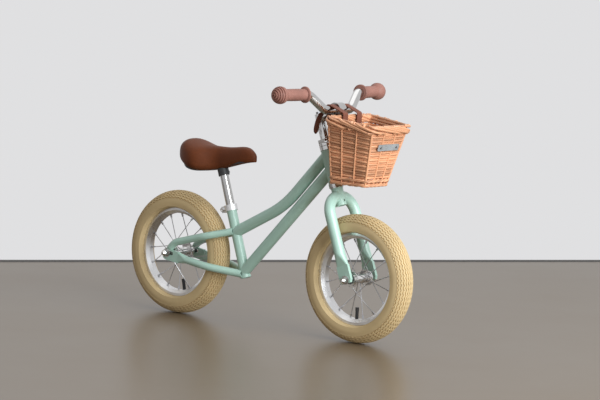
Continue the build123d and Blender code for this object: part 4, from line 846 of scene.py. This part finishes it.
def roll_border(rods, wall, sizes):
    """The thick border: long rods that come over the top and run down both faces on a slant."""
    core_heights = (0.89, 0.93, 0.97)
    # Painted shade: the core rods are made darkest, for the gaps in the border where they show.
    core_painted_shade = 0.1
    # The way round, and how far out of the wall a rod starts and ends, for the outer and the inner face
    faces = ((1, 0.0042, 0.0034), (-1, -0.0036, -0.0030))
    short, long = 0.75, 1.25
    thin, thick = 0.78, 1.08
    dark, pale = 0.4, 1
    core = [wall.count * k / sizes.core_steps for k in range(sizes.core_steps)]
    for height in core_heights:
        points = [wall.point(place, height, -sizes.core_in) for place in core]
        rods.add(points, sizes.border_radius, closed=True, fine=2, shade=core_painted_shade)
    run = sizes.border_run * wall.count
    for rod in range(sizes.border_rods):
        start = wall.count * rod / sizes.border_rods
        for way, near, far in faces:
            slip = rods.draw.uniform(-sizes.border_slip, sizes.border_slip)
            sway = rods.draw.uniform(-sizes.border_sway, sizes.border_sway)
            reach = run * rods.draw.uniform(short, long)
            points = []
            for k in range(sizes.border_steps + 1):
                part = k / sizes.border_steps
                rise = max(0, 1 - part / sizes.border_rise_run) ** 2
                tuck = max(0, 1 - (1 - part) / sizes.border_tuck_run) ** 2
                out = near + (far - near) * part
                out -= (near + sizes.border_start_in * way) * rise + (far + sizes.border_end_in * way) * tuck
                up = sway * math.sin(math.pi * part) - sizes.border_radius - sizes.border_fall * part
                points.append(wall.point(start + slip + way * reach * part, 1, out, up))
            radius = sizes.border_radius * rods.draw.uniform(thin, thick)
            rods.add(points, radius, fine=2, shade=rods.draw.uniform(dark, pale))


def twist_foot(rods, wall, sizes):
    """Two rows of rods, twisted together round the foot of the wall."""
    row_heights = (0.028, 0.098)
    turn_steps = 8
    steps = turn_steps * sizes.wale_turns
    for height in row_heights:
        for strand in range(sizes.wale_strands):
            points = []
            for step in range(steps):
                turn = math.tau * (step / turn_steps + strand / sizes.wale_strands)
                out = sizes.wale_out + sizes.wale_twist * math.cos(turn)
                up = sizes.wale_twist * math.sin(turn)
                points.append(wall.point(wall.count * step / steps, height, out, up))
            rods.add(points, sizes.wale_radius, closed=True)


def weave_floor(rods, wall, sizes):
    """The floor: rods from front to back, and rods across that pass them over and under."""
    level = wall.foot + sizes.floor_lift
    rear = wall.floor_rear + sizes.wall_inset
    front = wall.floor_rear + sizes.floor_depth - sizes.wall_inset
    sticks = sizes.floor_sticks
    for stick in range(sticks):
        side = ((stick + 0.5) / sticks - 0.5) * sizes.floor_spread
        start = Vector((rear, side * sizes.floor_rear_width, level))
        end = Vector((front, side * sizes.floor_front_width, level))
        rods.add([start.lerp(end, k / 3) for k in range(4)], sizes.stick_radius)
    for crossing in range(sizes.crossings):
        part = (crossing + 0.5) / sizes.crossings
        width = sizes.floor_rear_width + (sizes.floor_front_width - sizes.floor_rear_width) * part
        half = width / 2 * sizes.crossing_reach
        swing = sizes.crossing_swing if crossing % 2 else -sizes.crossing_swing
        points = []
        for step in range(2 * sticks + 1):
            lift = swing * math.sin(math.pi / 2 * step)
            points.append(Vector((rear + (front - rear) * part, half * (step / sticks - 1), level + lift)))
        rods.add(points, sizes.crossing_radius)


class BIKE_OT_basket(Operator):
    """Weave the wicker basket"""

    bl_idname = "bike.basket"
    bl_label = "Basket"

    def execute(self, context):
        settings = context.scene.balance_bike
        sizes = settings.basket
        wall = BasketWall(sizes)
        willow = willow_look(settings.finishes)
        rods = Rods(sizes.seed)
        weave_wall(rods, wall, sizes)
        twist_foot(rods, wall, sizes)
        weave_floor(rods, wall, sizes)
        piece = rods.finish("basket_weave")
        dress(piece, willow, "basket_unit", "wicker", "basket")
        rods = Rods(sizes.seed)
        roll_border(rods, wall, sizes)
        dress(rods.finish("basket_border"), willow, "basket_unit", "wicker")
        return {"FINISHED"}


def grip_profile(sizes, length):
    """The grip's section along the bar: inner disc, slightly swollen body and a round end with rings."""
    body_steps, bulb_steps, ring_steps = 8, 10, 5
    groove_steps = (2, 3)
    edge = sizes.flange_width / 4
    wide = sizes.flange_radius
    points = [(0, sizes.bore_radius), (0, wide - edge), (edge, wide)]
    points += [(3 * edge, wide), (4 * edge, wide - edge)]
    points.append((sizes.root_place, sizes.body_radius + sizes.root_rise))
    middle = length - sizes.bulb_radius
    first = math.asin(sizes.body_radius / sizes.bulb_radius)
    start = middle - sizes.bulb_radius * math.cos(first)
    for k in range(body_steps + 1):
        part = k / body_steps
        along = sizes.body_place + (start - sizes.body_place) * part
        points.append((along, sizes.body_radius + sizes.body_swell * math.sin(math.pi * part)))
    last = math.pi - math.asin(sizes.eye_radius / sizes.bulb_radius)
    for k in range(1, bulb_steps):
        turn = first + (math.pi / 2 - first) * k / bulb_steps
        points.append((middle - sizes.bulb_radius * math.cos(turn), sizes.bulb_radius * math.sin(turn)))
    steps = sizes.rings * ring_steps
    for k in range(steps + 1):
        turn = math.pi / 2 + (last - math.pi / 2) * k / steps
        radius = sizes.bulb_radius - (sizes.ring_depth if k % ring_steps in groove_steps else 0)
        points.append((middle - radius * math.cos(turn), radius * math.sin(turn)))
    eye_floor = length - sizes.eye_depth
    return points + [(eye_floor, sizes.eye_radius * sizes.eye_taper), (eye_floor, 0)]


class BIKE_OT_grips(Operator):
    """Turn the two grips"""

    bl_idname = "bike.grips"
    bl_label = "Grips"

    def execute(self, context):
        settings = context.scene.balance_bike
        sizes = settings.grips
        finish = leather_look("grip_leather", settings.finishes.grip, pore_scale=700, rough=0.4)
        for name, side in (("grip_right", -1), ("grip_left", 1)):
            low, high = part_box(name)
            corner = bar_middle + Vector((-sizes.corner_back, side * sizes.corner_out, sizes.rise))
            tip = bar_middle + Vector((-sizes.tip_back, side * sizes.tip_out, sizes.rise))
            run = (tip - corner).normalized()
            inner = high[1] if side < 0 else low[1]
            outer = low[1] if side < 0 else high[1]
            start = corner + run * ((inner - corner.y) / run.y)
            length = abs((outer - inner) / run.y)
            shape = spun(grip_profile(sizes, length), sizes.turn_steps, closed=False)
            bmesh.ops.rotate(
                shape, verts=shape.verts, cent=(0, 0, 0), matrix=to_left.rotation_difference(run).to_matrix()
            )
            bmesh.ops.translate(shape, verts=shape.verts, vec=start)
            piece = to_object(f"{name}_ringed", shape, 40)
            dress(piece, finish, "bar_unit", "grip_leather", name)
        return {"FINISHED"}


def wrap_line(circles, steps):
    """The closed line that runs tight round circles given clockwise as (x, z, radius)."""
    normals = []
    for (x, z, radius), (next_x, next_z, next_radius) in zip(circles, circles[1:] + circles[:1]):
        run = Vector((next_x - x, next_z - z))
        lean = (radius - next_radius) / run.length
        run.normalize()
        normals.append(run * lean + Vector((-run.y, run.x)) * math.sqrt(1 - lean * lean))
    points = []
    for (x, z, radius), before, after in zip(circles, normals[-1:] + normals[:-1], normals):
        first = math.atan2(before.y, before.x)
        turn = (math.atan2(after.y, after.x) - first) % -math.tau
        for k in range(steps + 1):
            bearing = first + turn * k / steps
            points.append((x + radius * math.cos(bearing), z + radius * math.sin(bearing)))
    return points


class BIKE_OT_straps(Operator):
    """Make the two leather straps with their free ends"""

    bl_idname = "bike.straps"
    bl_label = "Straps"

    def execute(self, context):
        settings = context.scene.balance_bike
        sizes = settings.straps
        leather = leather_look("strap_leather", settings.finishes.strap, pore_scale=900, rough=0.45)
        half_thick = sizes.thickness / 2
        corner = sizes.corner + half_thick
        wall = BasketWall(settings.basket)
        front = wall.mouth_rear + sizes.border_front
        foot = wall.top - sizes.border_drop
        circles = [
            (bar_middle.x, bar_middle.z, sizes.bar_radius + half_thick),
            (front, wall.top, corner),
            (front, foot, corner),
            (wall.mouth_rear - sizes.border_rear, foot, corner),
        ]
        line = wrap_line(circles, sizes.turn_steps)
        for name, side in (("strap_right", -1), ("strap_left", 1)):
            shape = bmesh.new()
            edge_y = side * sizes.spacing / 2 - sizes.width / 2
            verts = [shape.verts.new((x, edge_y, z)) for x, z in line]
            edges = [shape.edges.new(pair) for pair in zip(verts, verts[1:] + verts[:1])]
            self.widen(shape, edges, sizes.width)
            self.tail(shape, sizes, edge_y)
            bmesh.ops.recalc_face_normals(shape, faces=shape.faces)
            piece = to_object(f"{name}_leather", shape, 60)
            finish_edges(piece, thickness=sizes.thickness * sizes.leather_share, edge=sizes.edge)
            dress(piece, leather, "basket_unit", "strap_leather", name)
        return {"FINISHED"}

    @staticmethod
    def widen(shape, edges, width, bands=4):
        """Grows a line of edges sideways into a band."""
        for _ in range(bands):
            grown = bmesh.ops.extrude_edge_only(shape, edges=edges)["geom"]
            edges = [item for item in grown if isinstance(item, bmesh.types.BMEdge)]
            verts = [item for item in grown if isinstance(item, bmesh.types.BMVert)]
            bmesh.ops.translate(shape, verts=verts, vec=to_left * width / bands)

    def tail(self, shape, sizes, edge_y):
        """The free end, which hangs behind the bar and narrows to a round tip."""
        steps = sizes.tail_steps
        place = bar_middle + Vector((-sizes.bar_radius - sizes.thickness / 2, 0, 0))
        verts = []
        reach = {}
        for k in range(steps + 1):
            part = k / steps
            verts.append(shape.verts.new((place.x, edge_y, place.z)))
            reach[round(place.z, 6)] = part
            lean = sizes.tail_end + (sizes.tail_start - sizes.tail_end) * (1 - part) ** 2
            place = place + Vector((-math.sin(lean), 0, -math.cos(lean))) * sizes.tail_length / steps
        edges = [shape.edges.new(pair) for pair in zip(verts, verts[1:])]
        before = set(shape.verts) - set(verts)
        self.widen(shape, edges, sizes.width, bands=8)
        middle = edge_y + sizes.width / 2
        for vert in set(shape.verts) - before:
            tip = max(0, reach[round(vert.co.z, 6)] - sizes.tip_start) / (1 - sizes.tip_start)
            narrowing = math.sqrt(max(sizes.tip_width ** 2, 1 - tip * tip))
            vert.co.y = middle + (vert.co.y - middle) * narrowing


class BIKE_OT_plate(Operator):
    """Finish the plain plate on the basket's front and its rivets"""

    bl_idname = "bike.plate"
    bl_label = "Plate"

    def execute(self, context):
        tones = context.scene.balance_bike.finishes
        plate = metal_look("plain_plate", tones.plate, rough=(0.5, 0.62), grain=0.12, stretch=(1, 30, 1))
        frame["nodes"]["basket_plate"].data.materials[0] = plate
        rivets = metal_look("dull_rivet", tones.rivet, rough=(0.5, 0.62), grain=0.1)
        frame["nodes"]["plate_rivets"].data.materials[0] = rivets
        return {"FINISHED"}


class BIKE_OT_finishes(Operator):
    """Paint, plate and polish the pieces that keep their shape"""

    bl_idname = "bike.finishes"
    bl_label = "Finishes"

    def execute(self, context):
        tones = context.scene.balance_bike.finishes
        looks = {
            "mint_paint": paint_look(tones),
            "chrome": metal_look("bright_chrome", tones.chrome, rough=(0.06, 0.16), grain=0.03),
            "bright_alloy": metal_look("polished_alloy", tones.alloy, rough=(0.2, 0.34), grain=0.1),
            "spoke_steel": metal_look("drawn_steel", tones.spoke, rough=(0.24, 0.36), grain=0.06),
            "dark_steel": metal_look("plain_steel", tones.steel, rough=(0.28, 0.45), grain=0.1),
            "black_plastic": plastic_look("black_plastic", tones.black, rough=0.42),
            "black_rubber": plastic_look("black_rubber", tones.black, rough=0.6),
        }
        for part in frame["record"]["subparts"]:
            node = frame["nodes"][part["node"]]
            if part["material_slot"] in looks:
                node.data.materials.clear()
                node.data.materials.append(looks[part["material_slot"]])
        hub = metal_look("plated_hub", tones.hub, rough=(0.12, 0.2), grain=0.05)
        for name in ("front_hub_shell", "rear_hub_shell", "collar_bolt"):
            frame["nodes"][name].data.materials[0] = hub
        post = metal_look("plated_post", tones.post, rough=(0.1, 0.18), grain=0.05)
        frame["nodes"]["seat_post"].data.materials[0] = post
        return {"FINISHED"}


class BIKE_OT_stage(Operator):
    """Set up the floor, the light, the backdrop and the camera"""

    bl_idname = "bike.stage"
    bl_label = "Stage"

    def execute(self, context):
        scene = context.scene
        stage = scene.balance_bike.stage
        self.ground(stage)
        self.light(scene, stage)
        self.camera(scene, stage)
        scene.view_settings.view_transform = "Standard"
        return {"FINISHED"}

    @staticmethod
    def slab(name, stage, width, height, look):
        """A level sheet that reaches a given width forward from the floor's rear edge."""
        start = Vector(stage.edge_start)
        end = Vector(stage.edge_end)
        run = (end - start).normalized()
        ahead = run.cross(upward)
        middle = (start + end) / 2 + upward * height
        half = stage.floor_half
        shape = bmesh.new()
        corners = ((-half, 0), (-half, width), (half, width), (half, 0))
        verts = [shape.verts.new(middle + run * along + ahead * out) for along, out in corners]
        shape.faces.new(verts)
        piece = to_object(name, shape)
        piece.data.materials.append(look)

    def ground(self, stage):
        """A plain floor that ends in a thin dark strip, a painted shadow of a gap, with nothing behind it."""
        floor = floor_look("pale_floor", stage.floor_tone, stage.floor_rough)
        self.slab("floor", stage, stage.floor_depth, 0, floor)
        # Painted shadow: a dark strip lies on the floor along its rear edge.
        gap = floor_look("gap_shadow", stage.gap_tone, stage.gap_rough)
        self.slab("gap_shadow_strip", stage, stage.gap_width, stage.gap_lift, gap)

    @staticmethod
    def lamp(name, power, tint, wide, place, target):
        data = bpy.data.lights.new(name, "AREA")
        data.energy = power
        data.color = tint
        data.size = wide
        holder = add_object(name, data)
        aim = (Vector(target) - Vector(place)).to_track_quat("-Z", "Y").to_matrix().to_4x4()
        holder.matrix_world = Matrix.Translation(place) @ aim

    def light(self, scene, stage):
        """Two soft lamps, an even sky, and a backdrop that the camera and glossy surfaces see instead."""
        self.lamp("key", stage.key_power, stage.key_tone, stage.key_size, stage.key_place, stage.key_aim)
        self.lamp("top", stage.top_power, stage.top_tone, stage.top_size, stage.top_place, stage.top_aim)
        world = bpy.data.worlds.new("even_sky")
        world.use_nodes = True
        nodes = world.node_tree.nodes
        links = world.node_tree.links
        sky = nodes["Background"]
        sky.inputs["Strength"].default_value = stage.sky
        sky.inputs["Color"].default_value = (1, 1, 1, 1)
        backdrop = nodes.new("ShaderNodeBackground")
        backdrop.inputs["Color"].default_value = (*stage.backdrop_tone, 1)
        path = nodes.new("ShaderNodeLightPath")
        seen = nodes.new("ShaderNodeMath")
        seen.operation = "MAXIMUM"
        links.new(path.outputs["Is Camera Ray"], seen.inputs[0])
        links.new(path.outputs["Is Glossy Ray"], seen.inputs[1])
        both = nodes.new("ShaderNodeMixShader")
        links.new(seen.outputs[0], both.inputs[0])
        links.new(sky.outputs[0], both.inputs[1])
        links.new(backdrop.outputs[0], both.inputs[2])
        links.new(both.outputs[0], nodes["World Output"].inputs["Surface"])
        scene.world = world

    @staticmethod
    def camera(scene, stage):
        data = bpy.data.cameras.new("camera")
        data.lens = stage.lens
        data.sensor_width = stage.sensor
        data.clip_end = stage.sight
        holder = add_object("camera", data)
        look = Vector(stage.look).normalized()
        top = Vector(stage.top).normalized()
        side = look.cross(top)
        turn = Matrix((side, top, -look)).transposed().to_4x4()
        holder.matrix_world = Matrix.Translation(stage.eye) @ turn
        scene.camera = holder


class BIKE_PT_panel(Panel):
    """The steps, in the order in which they run"""

    bl_idname = "BIKE_PT_panel"
    bl_label = "Balance bike"
    bl_space_type = "VIEW_3D"
    bl_region_type = "UI"
    bl_category = "Balance bike"

    def draw(self, context):
        for step in operators:
            self.layout.operator(step.bl_idname)


groups = (TyreSizes, SaddleSizes, BasketSizes, GripSizes, StrapSizes, Finishes, StageSettings, BikeSettings)
operators = (
    BIKE_OT_finishes,
    BIKE_OT_tyres,
    BIKE_OT_saddle,
    BIKE_OT_basket,
    BIKE_OT_grips,
    BIKE_OT_straps,
    BIKE_OT_plate,
    BIKE_OT_stage,
)


def register():
    for item in (*groups, *operators, BIKE_PT_panel):
        bpy.utils.register_class(item)
    bpy.types.Scene.balance_bike = PointerProperty(type=BikeSettings)


def unregister():
    del bpy.types.Scene.balance_bike
    for item in reversed((*groups, *operators, BIKE_PT_panel)):
        bpy.utils.unregister_class(item)


def main():
    register()
    bpy.ops.bike.finishes()
    bpy.ops.bike.tyres()
    bpy.ops.bike.saddle()
    bpy.ops.bike.basket()
    bpy.ops.bike.grips()
    bpy.ops.bike.straps()
    bpy.ops.bike.plate()
    bpy.ops.bike.stage()


if __name__ == "__main__":
    main()
